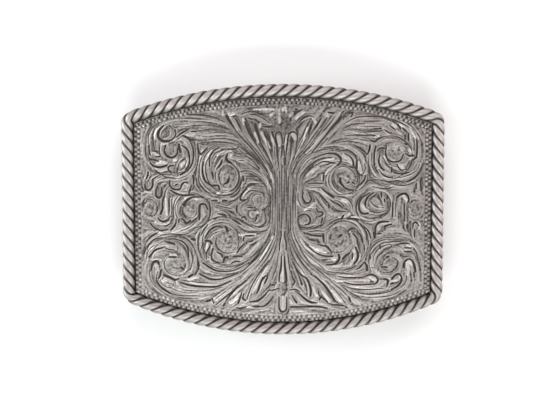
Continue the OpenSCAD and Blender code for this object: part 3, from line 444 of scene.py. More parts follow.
RIGHT_LINES = [
    # outlines of the scrolls
    [(25.2, 18.8), (28, 20.4), (31.6, 20.2), (34.6, 18.2), (35.9, 15), (35, 11.6), (32.4, 9.2), (29, 8.4),
     (26, 9.6)],
    [(11.8, 12.6), (14.8, 13.6), (18.4, 12.9), (20.9, 10.4), (21, 7.2), (18.8, 4.9), (15.6, 4.5),
     (13.2, 6.2)],
    [(15.2, 16.4), (18, 16.6), (20.6, 15)],
    [(11.4, -5.8), (13.4, -3.4), (16.8, -2.2), (20.4, -3), (23, -5.8), (23.8, -9.6), (22.6, -13.2),
     (20, -15.8)],
    [(13, -3.9), (16.6, -2.9), (19.8, -3.8), (21.6, -5.8)],
    [(24.6, -17.4), (23.9, -13.8), (25, -10.4), (27.8, -8.6), (31.4, -8.4), (34.4, -9.2), (37, -11.6),
     (38, -14.6)],
    [(25.8, -17), (25.2, -13.8), (26.6, -11), (29.4, -9.9), (32.6, -10.4), (34.2, -12)],
    [(21.4, 3.9), (20.4, 1), (21, -1.8), (23.6, -3.2), (27, -2.8)],
    [(25.8, 5.4), (28.4, 4.6), (29.8, 2.4), (29.6, -0.4), (28, -2)],
    [(20.4, 6), (24, 8.2), (27.6, 8.2), (31, 7), (33.6, 6.6), (36.6, 7.6)],
    # top fan
    [(2, 19.8), (2.2, 17), (2, 14)], [(4, 20.4), (3.7, 17.4), (3, 14)], [(4.2, 22.8), (5, 24), (6, 25)],
    [(6.2, 20.4), (7.2, 22.6), (7.6, 24)], [(7, 20), (8.8, 22.8), (9.8, 24.6)],
    [(7, 17), (10, 20.6), (13, 24.2), (14.4, 26.2)], [(5, 16), (8.4, 20.6), (12, 25.4)],
    [(4.6, 17), (7.4, 21.2), (10.6, 25.6)], [(3.6, 16), (5.6, 20)],
    [(8.8, 16), (12.4, 20.2), (16.8, 25.4)], [(2.4, 10), (4.6, 14), (8, 17)],
    [(2, 10.4), (3.6, 14.4), (6.6, 18)], [(1.6, 10.8), (2.8, 14.4), (4.6, 18)],
    # plume
    [(18.4, 22.2), (22, 21.6), (27.4, 22)], [(20.6, 23.3), (24, 23.2), (27.2, 23.2)],
    [(21.6, 24.8), (25, 24.6), (28, 24.7)], [(17.6, 19.4), (20.4, 19.8), (23.4, 19.2)],
    [(16.4, 20.6), (20, 20.8), (25, 20.6)], [(14.6, 18.6), (17.6, 19.2), (21, 18.8)],
    [(17, 22.9), (19.4, 23.9), (22.6, 24)],
    [(17.4, 24.4), (21, 25.8), (27, 25.9), (31, 24.8), (35.2, 22.6), (37.2, 19.8)],
    [(22.8, 21.2), (25, 20.8), (26.2, 20.2)],
    # inner scroll, top
    [(4.8, 9.6), (7.4, 12.6), (10.4, 14.4), (13.6, 14.6)], [(4.4, 10.4), (7, 13.8), (10, 15.6)],
    [(3.8, 11.4), (6.4, 15), (10.4, 16.8), (14, 16.6)], [(10, 17.4), (14, 17.8), (17, 17.4)],
    [(22.4, 13.4), (22.8, 11.6), (22.2, 10)], [(23.4, 10), (23.2, 8), (21.8, 6.2), (20, 5.4)],
    [(13.6, 10.2), (13.5, 8), (14.6, 6), (16.8, 4.8), (19.4, 4.6)],
    [(12.8, 10), (12.6, 7.6), (13.6, 5.6)],
    [(13.8, 9.6), (14.6, 11.4), (16.6, 12.2), (18.6, 11.4), (20, 10)],
    [(6.4, 6.6), (8.6, 6.4), (10.6, 6.4)], [(4.2, 5), (4.2, 3), (5.6, 1), (8, 0.6)],
    [(10.6, 3.4), (11.4, 2.2), (12.2, 1.2)], [(14, 3), (16, 2.2), (17, 0.8)],
    [(13.6, 1.4), (15, 0), (17.4, -0.4)], [(17.6, 3.4), (19, 1.8), (19.4, -0.4)],
    # middle
    [(22.8, 4.8), (20.8, 2.8), (20.3, 0.4), (21, -1.8)], [(24.4, 2.4), (25.6, 1), (28, 0.6)],
    [(24.2, -0.4), (26.4, -0.8), (28.8, -0.2)], [(31.4, 3), (31.3, 0.4), (31.3, -2)],
    [(38.2, 8), (38.3, 6)], [(31, 8.8), (34, 9.2), (37, 10.6), (38, 12.6)],
    [(29, 7.8), (32, 8), (34.4, 7)], [(24, 8.4), (27, 7), (30, 6.2)], [(24.6, 6.6), (28, 5.8), (31, 6.4)],
    [(35.2, 1.8), (34.9, -0.4), (35.8, -1.8)],
    # corner scroll, top
    [(24.6, 16), (24.4, 13), (25.4, 10.6), (27, 9)], [(36.2, 20), (36.4, 18), (36.2, 16.4)],
    [(28.8, 14), (30, 12.4), (31.4, 12)], [(27.6, 14.8), (28.6, 13), (29.8, 12.4)],
    # bottom fan
    *FEATHERS, [(3.2, -8), (6.8, -12.4), (12, -16.6)], [(1.3, -12), (1.8, -16), (2.8, -19)],
    [(12, -19.6), (14.6, -22.4), (17.4, -26)], [(13.4, -20), (16.6, -22.6), (19, -25)],
    [(16, -20.8), (18.6, -23), (22, -25)],
    # scrolls, bottom
    [(5, -4.6), (7, -4.8), (9, -4)], [(12, -9.4), (12.2, -6.4), (14, -4.6)],
    [(12.4, -5.4), (15, -3.4), (18, -3.2), (20.6, -4.6), (22.2, -7)],
    [(21.4, -4), (23, -6), (23.4, -8.4)], [(22.4, -9.6), (22.8, -10.8), (22.6, -12.6)],
    [(12.2, -16.1), (16, -16.2), (18, -15.8)], [(9.6, -14.8), (12.4, -17), (17, -17.4), (19.4, -16.8)],
    [(16, -17.8), (19.6, -18), (22, -17.6)], [(16.4, -21), (20, -22.2), (24, -22.4), (28, -22.2)],
    [(19, -22.8), (23, -23.7), (28, -23.6), (31, -22.8)],
    [(20, -24), (25, -24.6), (30, -24.4), (33, -23)], [(17.6, -20), (20, -20.1), (24, -20)],
    [(25, -9.2), (27, -8.2), (29.6, -7.8), (32.4, -8.2), (35, -8.8)], [(28.8, -9.4), (31, -9), (33, -9)],
    [(33.4, -13.4), (35, -13.3)], [(35.6, -17), (35.8, -19.6)],
    [(30.4, -13.4), (32, -14.4), (31.8, -16.2), (30, -17.6), (28, -17.6)], [(24.6, -16.2), (26, -16.4)],
    [(28.4, -12), (29.6, -11), (30.4, -10)], [(24, -15), (24.4, -12.6), (26, -10.6)],
    [(26, -15), (26.4, -13.2), (28, -11.8)], [(34.6, -18.6), (34.4, -20.6), (32.8, -22.4)],
]

# smooth bosses and buds: middle and half sizes
LEFT_DOMES = [
    [(30.9, 16.4), 1.9, 1.9], [(27.8, 12.5), 1.1, 1.4], [(15.2, 9.2), 2.4, 2.8], [(15.4, -8.4), 2.9, 3],
    [(30, -15.6), 2.4, 2], [(25.8, -0.2), 1.9, 1.7], [(36.8, 0.2), 1.9, 2.1], [(8.1, -1), 0.9, 0.9],
]
RIGHT_DOMES = [
    [(30.8, 16), 2.2, 2.2], [(16.8, 9.4), 2.2, 2], [(15, -8.2), 2.9, 3.1], [(30, -15.4), 1.9, 2],
    [(36.8, 0.2), 1.9, 2.1], [(5.7, -2.6), 0.9, 0.9],
]
BOTH_DOMES = [
    [(0, -21.7), 1, 1.6],
]

# bright crests, written like the cuts: polished, with a painted highlight
BOTH_CRESTS = [
    [(18, 22), (0, 28.4), (0, 27.8)], [(8, 12, 22), (0, -13), (0, -17), (0, -19.8)],
    [(15, 20, 20), (0, -24.2), (0, -26), (0, -27.8)],
]
LEFT_CRESTS = [
    [(15, 20, 12), (1.1, 28), (1, 26.6)], [(4, 5, 5, 4), (2.6, 28.1), (5, 28.1), (8, 28)],
    [(12, 18), (2.9, 27), (3.3, 26.6)], [(15, 26, 15), (1, 26), (0.95, 24.4)],
    [(20, 40, 15), (1.2, 20.6), (1, 19), (0.9, 18)], [(12, 15, 12), (0.5, 17), (0.5, 15), (0.35, 13)],
    [(10, 25, 10), (3, 21.2), (2.8, 19.6), (2.2, 18)],
    [(25, 20, 8), (5.8, 21.5), (4.8, 19.4), (3.6, 17.4)], [(25, 20, 8), (7.6, 21.4), (6.8, 18.9)],
    [(15, 15), (6.2, 24), (6.3, 23.2)], [(10, 20, 10), (10.9, 25.4), (10.7, 23.9)],
    [(30, 45, 20), (13.5, 26.8), (14.3, 26.7), (15, 26.5)], [(15, 20, 15), (16.5, 27.4), (16.5, 26.5)],
    [(10, 22, 10), (14.5, 25.8), (13.6, 24), (12.6, 22.4)],
    [(30, 45, 30), (24.5, 21.3), (25.3, 21), (26.2, 20.9)],
    [(20, 30, 20), (14.4, 16.5), (16.2, 16.3), (18, 15.2)], [(15, 20, 15), (19.6, 16.6), (20.5, 15.4)],
    [(25, 25), (14, 15.7), (14.3, 15.2)], [(12, 15, 12), (31.8, 18.4), (33.2, 18.4)],
    [(12, 25, 12), (34.4, 15), (36, 15.7)], [(25, 35, 20), (32.2, 12.9), (33.6, 13.2), (35, 12.8)],
    [(15, 35, 20), (32, 11.2), (34, 10.9), (36, 11.4)], [(20, 20), (29.5, 14), (30, 13.8)],
    [(20, 25), (28.6, 9.2), (29.3, 8.7)], [(25, 30, 20), (27.2, 13.4), (28, 12.4)],
    [(10, 18, 12), (34, 23), (35, 21.6), (35.4, 19.6)], [(10, 15, 10), (21.8, 12), (21.6, 10), (21, 8)],
    [(15, 20, 15), (14.6, 5.1), (16.2, 4.9)], [(15, 15), (17.6, 5), (18.3, 4.4)],
    [(12, 18, 12), (9, 6.2), (10, 5.4), (10.8, 4.2)],
    [(12, 18, 12), (27.4, 4.6), (28.6, 4.7), (29.8, 5.4)], [(15, 20, 15), (26.4, 7), (27.2, 7.6)],
    [(12, 15, 12), (36.6, 4.8), (38.4, 4.8)], [(12, 18, 12), (24, 3), (25.6, 3.6), (27, 3.4)],
    [(8, 15, 8), (3.4, 6), (4.9, 9), (6.2, 11.4)], [(8, 12, 8), (2.6, 8), (3.6, 10.6), (4.6, 12.6)],
    [(10, 15, 10), (31, 3), (31, 0), (31, -1.6)], [(12, 20, 12), (32.4, 3), (32.3, 0), (32.2, -1.4)],
    [(15, 20, 15), (7.7, -6.6), (10, -6.6), (12.4, -6.9)],
    [(10, 15, 10), (2.6, -7.2), (4.2, -10.6), (6.4, -13.6)],
    [(10, 30, 30, 15), (4.2, -15.6), (5.6, -18), (7, -20.6), (8.4, -23)],
    [(15, 30, 15), (20.6, -9), (21, -10.4), (21.2, -11.6)],
    [(10, 18, 10), (20.3, -13.2), (20, -14.6), (19, -15.8)],
    [(20, 35, 20), (31.6, -3.6), (33.4, -4.3), (35.4, -3.6)], [(12, 15, 12), (33.4, -6.6), (35, -6.6)],
    [(12, 15, 12), (29.8, -12.7), (31.4, -12.7)],
    [(10, 20, 15, 10), (32, -10.2), (33.6, -9.7), (35.4, -10), (36.8, -11.2)],
    [(12, 18, 12), (34.2, -14.2), (35.4, -14), (36.4, -14.6)], [(30, 40, 20), (35.2, -16), (34.8, -17.4)],
    [(25, 40, 25), (31.4, -20.4), (32.8, -19.8), (33.6, -20.2)],
    [(20, 25, 15), (29.6, -20), (29.3, -21.2), (28.4, -22.2)],
    [(15, 35, 15), (23.6, -19), (24.8, -19), (26.4, -19.8)],
    [(15, 22, 20, 12), (18, -20.9), (21, -21), (24, -20.8), (26, -20.3)],
    [(10, 18, 12), (17, -18.9), (20, -19.2), (22, -18.9)],
    [(12, 25, 12), (20.6, -17.4), (22, -16.9), (23, -16.2)],
    [(10, 15, 10), (24, -22.4), (27, -22.4), (29, -22.4)],
    [(10, 22, 20), (14.4, -22.4), (16.4, -23.8), (18.4, -25.4)],
    [(20, 35, 25), (12, -23.4), (13.2, -25), (14.6, -26)], [(12, 20, 12), (8.4, -27.1), (10, -27.1)],
    [(12, 15, 12), (25.4, -4.4), (28, -5.4), (30.6, -6.4)], [(22, 22), (6.9, -0.5), (7.3, -0.6)],
]
RIGHT_CRESTS = [
    [(25, 30, 15), (1.9, 26.3), (2.6, 27)], [(15, 35, 20), (3.6, 25.5), (4.6, 26.5), (5.7, 27.1)],
    [(10, 16, 14), (0.1, 28.5), (0.6, 28.5), (0.9, 27.4)],
    [(12, 15, 12), (1.1, 20.8), (0.7, 18), (0.45, 15)], [(30, 45, 25), (2.6, 21.2), (3, 20.6), (3.2, 20)],
    [(12, 20, 12), (6.8, 23), (6.3, 21.4), (5.7, 19.8)], [(15, 22, 12), (8.2, 25.4), (9, 24.4)],
    [(22, 22), (12.1, 26.8), (12.1, 26)],
    [(35, 35, 18, 15, 12, 8), (15.4, 26.8), (14.6, 25.4), (13.4, 23.6), (11, 20.8), (8.6, 18.2),
     (6.4, 16)],
    [(8, 14, 10), (16.4, 25), (14.6, 22.8), (12.4, 20.4)],
    [(8, 12, 8), (12.4, 22.6), (10.6, 21), (8.8, 18.8)],
    [(12, 20, 10), (9.8, 12.1), (8.2, 11.2), (6.6, 9.8)],
    [(10, 16, 10), (14, 14.4), (11.6, 14), (9.4, 13)],
    [(10, 18, 12), (14.4, 12.6), (12.8, 11.4), (11.8, 10.2)], [(12, 15), (10.8, 9.6), (10.8, 8.8)],
    [(20, 25, 15), (10.6, 5.8), (11.4, 5), (12.2, 4.4)],
    [(20, 30, 35, 15), (16.6, 15.4), (17.8, 14.6), (18.6, 13.6), (18.8, 12.8)],
    [(15, 25, 20), (20.9, 13.4), (21.2, 12), (21.6, 10.6)], [(12, 15), (22.2, 14), (22.3, 13.2)],
    [(15, 22, 15), (25.4, 20.2), (26.4, 20.6)], [(15, 22, 15), (27.6, 22.6), (28.6, 21.6), (29.2, 21)],
    [(12, 18, 12), (30.2, 23.8), (31.2, 22.8)], [(12, 18, 12), (32.2, 23.8), (33.2, 22.8)],
    [(20, 35, 30, 20), (35, 22.8), (35.8, 21.6), (36.8, 20.4), (37.3, 19.6)],
    [(45, 50, 40), (30.6, 17.2), (31.3, 17.2)], [(35, 40, 30), (35, 16.6), (35.8, 15.9)],
    [(15, 25, 15), (35.2, 14), (36, 14.4)], [(30, 30, 20), (32.2, 12.4), (33, 12), (33.6, 11)],
    [(20, 25, 15), (28, 14.8), (28.8, 14.2)], [(12, 18, 12), (26.8, 14.8), (26.8, 13)],
    [(8, 14, 20, 14), (26.3, 11.6), (27.2, 10), (28.3, 9), (29.8, 8.6)],
    [(12, 18, 12), (20.8, 5.8), (21.8, 6.7), (22.6, 7.6)],
    [(25, 35, 25), (33.6, 3.8), (34.2, 3.2), (34.5, 2.4)], [(20, 20), (26.8, 1), (27.2, 0.6)],
    [(20, 25, 20), (22, 1.4), (22.6, 0.4), (23.6, -0.2)], [(20, 20), (35.2, 0), (35.4, -1)],
    [(20, 30, 20), (16.4, 3), (17.8, 2.6)], [(15, 15), (4, 2.4), (4.2, 1.8)],
    [(12, 15, 12), (6, 0.2), (7.4, 1), (8.4, 2)], [(20, 20), (15.7, -1.8), (16.1, -1.9)],
    [(15, 30, 15), (17, -2), (17.8, -1.4), (18.6, -1.2)],
    [(10, 15, 10), (19, -1.9), (21, -2), (22.4, -2.6)], [(12, 18, 12), (28, -3.9), (29.8, -3.8)],
    [(15, 25, 15), (27.8, -3.9), (26.8, -4.4), (26.6, -5.4)],
    [(20, 25, 12), (37.2, -4), (38, -4.6), (38, -5.6)], [(18, 18), (11, -5.7), (11.6, -5.8)],
    [(8, 18, 24, 18, 8), (4.8, -7.8), (5.6, -9.2), (6.6, -10.4), (7.9, -11.4), (9.6, -12.2)],
    [(20, 50, 30), (7.6, -9.8), (9.6, -10.8), (12, -11.6)], [(15, 25, 15), (13.6, -13.4), (15, -13.6)],
    [(12, 22, 12), (14, -15.6), (15.4, -15.6), (16.4, -15)], [(25, 30, 15), (19.7, -11.2), (20, -11.8)],
    [(10, 20, 10), (20.2, -12.6), (19.8, -13.8), (19, -15)],
    [(10, 25, 10), (21.4, -12.4), (21.2, -13.8), (20.4, -15.2)],
    [(20, 40, 25), (34.6, -9.9), (35.4, -10.3), (36.2, -10.8)],
    [(15, 30, 20), (34.5, -14.9), (35.4, -14.9), (36, -15.6)],
    [(25, 40, 25), (34.8, -15.6), (35.2, -17), (35, -18.4)],
    [(20, 35, 30), (24.4, -18.9), (25.3, -19.3), (25.8, -19.9)],
    [(8, 15, 22, 20), (15, -19.9), (18, -20), (21, -20), (24, -20)],
    [(8, 18, 18, 10), (20.4, -21.6), (23, -21.9), (25.6, -21.8), (28, -21)],
    [(8, 15, 8), (23, -24.3), (26, -24.3), (29, -24)], [(18, 18), (29.4, -19.5), (30, -19.7)],
    [(15, 30, 20), (31, -20.2), (32.4, -19.8), (32.8, -18.8)],
    [(8, 15, 15, 10), (8.6, -17), (10.6, -19.2), (12.4, -21.2), (13.4, -22.8)],
    [(10, 20, 25, 20), (13.6, -22.4), (15, -24), (16.4, -25.4)],
    [(8, 14, 14, 10), (5, -16.8), (6.4, -19.4), (7.1, -21.8), (7.2, -24)],
    [(20, 30, 20), (8.4, -21.6), (8.8, -22.8), (9.4, -23.8)], [(15, 25, 15), (2, -25.2), (2.6, -26)],
    [(10, 20, 12), (8, -25.2), (9.6, -26), (11, -26.2)],
    [(15, 30, 20), (11, -23), (12.2, -24.6), (13, -25.8)],
]


def smooth_path(points):
    """A curve through the points, without corners."""
    p = np.array(points, float)
    p = np.vstack([2 * p[0] - p[1], p, 2 * p[-1] - p[-2]])
    out = []
    for a, b, c, d in zip(p, p[1:], p[2:], p[3:]):
        n = max(1, math.ceil(np.hypot(*(c - b)) / CURVE_STEP))
        t = np.arange(n)[:, None] / n
        out.append(b + 0.5 * t * (c - a + t * (2 * a - 5 * b + 4 * c - d + t * (3 * (b - c) + d - a))))
    return np.vstack(out + [p[-2:-1]])


def stroke(points, widths):
    """Rows of u, y and half width along a stroke."""
    path = smooth_path(points)
    t = np.linspace(0, 1, len(path))
    half = np.interp(t, np.linspace(0, 1, len(widths)), np.array(widths) / WIDTH_UNITS)
    return np.column_stack([path, half])


class Sheet:
    """Samples of one half of the face."""

    def __init__(self, u, y):
        self.shape = u.shape
        self.u, self.y = u.ravel(), y.ravel()
        self.top = np.full(u.size, LEAF_TOP)    # height without cuts
        self.fall = np.zeros(u.size)            # share of that height which a cut takes away
        self.free = np.full(u.size, NO_CUT)     # distance from the nearest cut
        self.smooth = np.zeros(u.size, bool)    # on a boss
        self.bright = np.zeros(u.size)          # on a crest


def near(sheet, line, reach):
    """The samples within reach of a stroke, and how far each lies outside it."""
    points, half = line[:, :2], line[:, 2]
    lo, hi = points.min(0) - half.max() - reach, points.max(0) + half.max() + reach
    inside = (sheet.u > lo[0]) & (sheet.u < hi[0]) & (sheet.y > lo[1]) & (sheet.y < hi[1])
    found = np.flatnonzero(inside)
    u, y = sheet.u[found], sheet.y[found]
    past = np.full(len(found), np.inf)
    for k in range(len(line) - 1):
        (au, ay), (du, dy) = points[k], points[k + 1] - points[k]
        ru, ry = u - au, y - ay
        t = np.clip((ru * du + ry * dy) / (du * du + dy * dy), 0, 1)
        away = np.hypot(ru - t * du, ry - t * dy) - half[k] - (half[k + 1] - half[k]) * t
        past = np.minimum(past, away)
    keep = past < reach
    return found[keep], past[keep]


def carve(sheet, line, depth, shoulder):
    """A cut with a flat bottom whose sides rise in a round shoulder."""
    found, past = near(sheet, line, CUT_REACH)
    sheet.free[found] = np.minimum(sheet.free[found], past)
    x = 1 - np.clip(past / shoulder, 0, 1)
    fall = depth * (1 - np.sqrt(1 - x * x))
    fall = np.where(past < 0, depth, fall)
    sheet.fall[found] = np.maximum(sheet.fall[found], fall)


def raise_crest(sheet, line):
    """A bright raised line, polished and with a painted highlight."""
    found, past = near(sheet, line, CREST_FADE)
    full = np.clip(1 - past / CREST_FADE, 0, 1)
    sheet.bright[found] = np.maximum(sheet.bright[found], full * full * (3 - 2 * full))


def raise_dome(sheet, centre, ru, ry):
    """A smooth boss with a shallow ring round it."""
    r = np.hypot((sheet.u - centre[0]) / ru, (sheet.y - centre[1]) / ry)
    inside = r < 1
    sheet.top[inside] += DOME_RISE * np.sqrt(1 - r[inside] ** 2)
    sheet.smooth |= inside
    ring = np.clip(1 - np.abs(r - 1) * min(ru, ry) / DOME_RING, 0, 1)
    sheet.fall = np.maximum(sheet.fall, DOME_RING_DEPTH * ring)


def all_strokes(side):
    """Every stroke of one half with its depth and shoulder."""
    lines = BOTH_LINES + (LEFT_LINES if side < 0 else RIGHT_LINES)
    cuts = BOTH_CUTS + (LEFT_CUTS if side < 0 else RIGHT_CUTS)
    fine = [(stroke(points, FINE), LINE_DEPTH, LINE_SHOULDER) for points in lines]
    return fine + [(stroke(points, widths), CUT_DEPTH, CUT_SHOULDER) for widths, *points in cuts]


def all_crests(side):
    crests = BOTH_CRESTS + (LEFT_CRESTS if side < 0 else RIGHT_CRESTS)
    return [stroke(points, widths) for widths, *points in crests]


def all_domes(side):
    return BOTH_DOMES + (LEFT_DOMES if side < 0 else RIGHT_DOMES)


def spread(grid, sizes):
    """The hatching's grid blurred by bell curves of the given weights and widths in millimetres."""
    fx = np.fft.fftfreq(grid.shape[0], HATCH_CELL)[:, None]
    fy = np.fft.rfftfreq(grid.shape[1], HATCH_CELL)[None, :]
    f2 = -2 * math.pi**2 * (fx**2 + fy**2)
    share = sum(weight * np.exp(f2 * width**2) for weight, width in sizes)
    return np.fft.irfft2(np.fft.rfft2(grid) * share, grid.shape)


def hatch_cell(x, y):
    """The cell of the hatching's grid at a place on the face."""
    cols, rows = HATCH_SIZE
    i = np.clip(np.round(x / HATCH_CELL + cols / 2), 0, cols - 1).astype(int)
    j = np.clip(np.round(y / HATCH_CELL + rows / 2), 0, rows - 1).astype(int)
    return i, j


def flow():
    """Which way the ornament runs at each cell of the whole face, as a unit vector."""
    way = np.zeros((2, *HATCH_SIZE))
    turn = np.linspace(0, 2 * math.pi, 25)
    for side in (-1, 1):
        rings = [
            np.column_stack([c[0] + FLOW_RING * ru * np.cos(turn), c[1] + FLOW_RING * ry * np.sin(turn)])
            for c, ru, ry in all_domes(side)
        ]
        lines = [line for line, *_ in all_strokes(side)] + all_crests(side)
        for points in [line[:, :2] for line in lines] + rings:
            points = points * (side, 1)
            step = points[1:] - points[:-1]
            length = np.hypot(*step.T)
            twice = 2 * np.arctan2(step[:, 1], step[:, 0])
            i, j = hatch_cell(*((points[1:] + points[:-1]) / 2).T)
            np.add.at(way[0], (i, j), length * np.cos(twice))
            np.add.at(way[1], (i, j), length * np.sin(twice))
    way = [spread(w, FLOW_REACH) for w in way]
    angle = np.arctan2(way[1], way[0]) / 2
    return np.cos(angle), np.sin(angle)


def hatching(vx, vy, width, steps):
    """Engraved lines that follow the ornament: seeded specks drawn out along its flow."""
    cols, rows = HATCH_SIZE
    specks = np.random.default_rng(HATCH_SEED).standard_normal(HATCH_SIZE)
    specks = spread(specks, [(1, width)])
    at_i, at_j = np.meshgrid(np.arange(cols), np.arange(rows), indexing="ij")
    lines = specks.copy()
    for sense in (1, -1):
        px, py = at_i.astype(float), at_j.astype(float)
        dx, dy = sense * vx, sense * vy
        for _ in range(steps):
            px = np.clip(px + dx, 0, cols - 1)
            py = np.clip(py + dy, 0, rows - 1)
            i, j = np.round(px).astype(int), np.round(py).astype(int)
            turned = np.where(vx[i, j] * dx + vy[i, j] * dy < 0, -1, 1)
            dx, dy = turned * vx[i, j], turned * vy[i, j]
            lines += specks[i, j]
    lines -= spread(lines, [(1, SPECK_FLATTEN * width)])
    return lines / np.sqrt(spread(lines**2, [(1, SPECK_EVEN)]))


def band(value, middle, half):
    """1 in the middle of a band, falling to 0 at half its width."""
    return np.clip(1 - np.abs(value - middle) / half, 0, 1)


def border(sheet, side, h, dark):
    """Two staggered rows of uneven beads with dark pits between them along the field's edge."""
    from_arc = FIELD_ARC_R - np.hypot(sheet.u, np.abs(sheet.y) - ARC_Y)
    from_side = FIELD_U - sheet.u
    edge, on_arc = np.minimum(from_arc, from_side), from_arc < from_side
    on_top = on_arc & (sheet.y > 0)
    turn = np.arctan2(sheet.u, np.abs(sheet.y) - ARC_Y) * FIELD_ARC_R
    pitch = np.where(on_arc, np.where(sheet.y > 0, TOP_PITCH, LOW_PITCH), SIDE_PITCH[side])
    along = np.where(on_arc, turn, sheet.y) / pitch
    dark = dark + INNER_TONE * band(edge, INNER_PLACE, INNER_HALF)
    for row, place in enumerate(BEAD_ROWS):
        at = along + 0.5 * row + 0.1 * np.sin(1.7 * along)
        number = np.round(at)
        luck = np.sin(number * (2.3 + 1.1 * row) + 0.7 * number**2)
        off = np.abs(at - number - 0.12 * luck) * pitch
        across = (edge - place - 0.15 * on_top - 0.07 * luck) / BEAD_ROW_HALF
        size = 0.84 - 0.12 * row + (0.2 + 0.2 * row) * luck
        round_off = (off / BEAD_HALF_LENGTH) ** 2
        bead = np.sqrt(np.clip(1 - round_off - (across / BEAD_FLATNESS) ** 2, 0, 1)) * size
        pit = np.hypot((pitch / 2 - off) / PIT_HALF_LENGTH, across)
        pit = np.clip(1.3 - pit, 0, 1) * (0.8 - 0.3 * luck)
        within = np.abs(across) < 1.1
        h = np.where(within, BEAD_GROUND + BEAD_RISE * bead - PIT_DEPTH * pit, h)
        # the row nearer the rope is darker: partly patina, partly painted shade of the rope
        tone = BEAD_GROUND_TONE - 0.12 * row + PIT_TONE * pit - BEAD_TONE * bead
        dark = np.where(within, tone, dark)
    # darker at the field's edge by the rope: partly patina, partly painted shade
    return h, dark + EDGE_TONE * np.clip(1 - edge / EDGE_FADE, 0, 1)


def relief(u, y, side, hatch):
    """Height over the bottom of the cuts in millimetres, and how dark it is: 1 in deep cuts."""
    sheet = Sheet(u, y)
    for centre, ru, ry in all_domes(side):
        raise_dome(sheet, centre, ru, ry)
    for line, depth, shoulder in all_strokes(side):
        carve(sheet, line, depth, shoulder)
    for line in all_crests(side):
        raise_crest(sheet, line)
    lines, swell, grain = (kind[hatch_cell(side * sheet.u, sheet.y)] for kind in hatch)
    x, bright = side * sheet.u, sheet.bright
    calm = 1 - sum(
        share * np.exp(-(((x - x0) / rx) ** 2) - ((sheet.y - y0) / ry) ** 2)
        for x0, y0, rx, ry, share in CALM
    )
    shade = sum(
        more * np.exp(-((x - x0) ** 2 + (sheet.y - y0) ** 2) / r**2) for x0, y0, r, more in SHADES
    )
    # the hatching is weaker far from the cuts and on bosses, crests, calm and shaded places
    far = np.clip(sheet.free - FAR_FROM_CUT, 0, 1)
    quiet = np.where(sheet.smooth, 0.3, 1 - 0.6 * far) * (1 - 0.8 * bright)
    quiet = quiet * calm * (1 - np.clip(4 * shade - 0.6, 0, 0.9))
    groove = np.clip(0.5 - 0.5 * lines, 0, 1) * quiet
    swell = np.clip(swell, -1.6, 1.6) * quiet
    grain = np.clip(grain, -1.5, 1.5) * np.where(sheet.smooth, 1, 0.3 + 0.5 * far)
    echo = band(sheet.free, *CUT_ECHO) * ~sheet.smooth * quiet
    rim = band(sheet.free, *CUT_RIM) * ~sheet.smooth * calm
    fall = sheet.fall * calm
    top = sheet.top + RISE["swell"] * swell + RISE["crest"] * bright
    top = top + RISE["rim"] * rim + RISE["grain"] * grain
    h = top * (1 - fall) - SINK["hatch"] * groove - SINK["echo"] * echo
    tone = DARKER["hatch"] * np.maximum(groove, echo) - BRIGHTER["swell"] * swell
    # painted highlights on the lit rims; on the crests polish together with a painted highlight
    tone = tone - BRIGHTER["crest"] * bright - BRIGHTER["rim"] * rim + DARKER["calm"] * (1 - calm)
    tone = tone + DARKER["boss"] * sheet.smooth - BRIGHTER["grain"] * grain
    dark = tone + (CUT_TONE - tone) * fall**CUT_TONE_POWER
    h, dark = border(sheet, side, h, dark)
    # painted light: the face's colour grows brighter toward its bottom
    light = LOW_LIGHT * np.clip((LOW_LIGHT_Y - sheet.y) / LOW_LIGHT_SPAN, 0, 1)
    dark = dark + shade * (1 - bright) + GROUND_TONE - light
    return h.reshape(sheet.shape), dark.reshape(sheet.shape)


# Meshes
FIELD_COLUMNS, FIELD_ROWS = 252, 379
FIELD_BOTTOM = 1.25        # how far the underside of the field lies below the face
HOLLOW_REACH, HOLLOW_DEPTH = 0.5, 0.14     # how wide and deep a hollow is that gathers patina
ROPE_RINGS_PER_TURN = 44
STRANDS, STRAND_SIDES = 3, 18
STRAND_GROOVE = 0.8        # depth of the grooves between the strands
# how dark the rope is: patina between its strands, patina and painted shade low beside the plate,
# painted shade on sides that face +y, and darker at the bottom of the buckle
ROPE_TONES = {"groove": 0.7, "inner": 0.5, "upper": 0.35, "bottom": 0.08}
# the rope's middle line: centre and turn of its corner, and how far from the top's middle along
# the line the arch, the corner and the quarter end
CORNER_X = ROPE_SIDE_X - ROPE_CORNER_R
CORNER_TURN = math.asin(CORNER_X / (ROPE_ARC_R - ROPE_CORNER_R))
CORNER_Y = ARC_Y + (ROPE_ARC_R - ROPE_CORNER_R) * math.cos(CORNER_TURN)
ARCH_END = ROPE_ARC_R * CORNER_TURN
CORNER_END = ARCH_END + ROPE_CORNER_R * (math.pi / 2 - CORNER_TURN)
QUARTER_END = CORNER_END + CORNER_Y
PLATE_ROWS = 9
PLATE_ARCH_END, PLATE_CORNER_START = 42.4, 42.7     # samples of its edge along the rope's middle line
PLATE_ARCH_SAMPLES, PLATE_CORNER_SAMPLES = 60, 14
# cross section of the plate's edge: how far outside that line and how far below the face
PLATE_EDGE = ((1.05, RIM_DEPTH), (RIM_REACH, RIM_DEPTH + 0.15), (RIM_REACH, PLATE_T - 0.2), (1.0, PLATE_T))
PLATE_TOP_PATINA, PLATE_WALL_PATINA, BACK_PATINA = 0.4, 0.6, 0.2
SEAT_SIDES, SEAT_EDGE, SEAT_SINK = 48, 0.25, 0.4
# name, x, y, radius and height of the underside
SEATS = [
    ("seat_upper", 33, 21.6, 2.5, 7.88),
    ("seat_lower", 33, -21.6, 2.5, 7.88),
    ("seat_hook", -26, 0, 4.2, 8.7303),
]


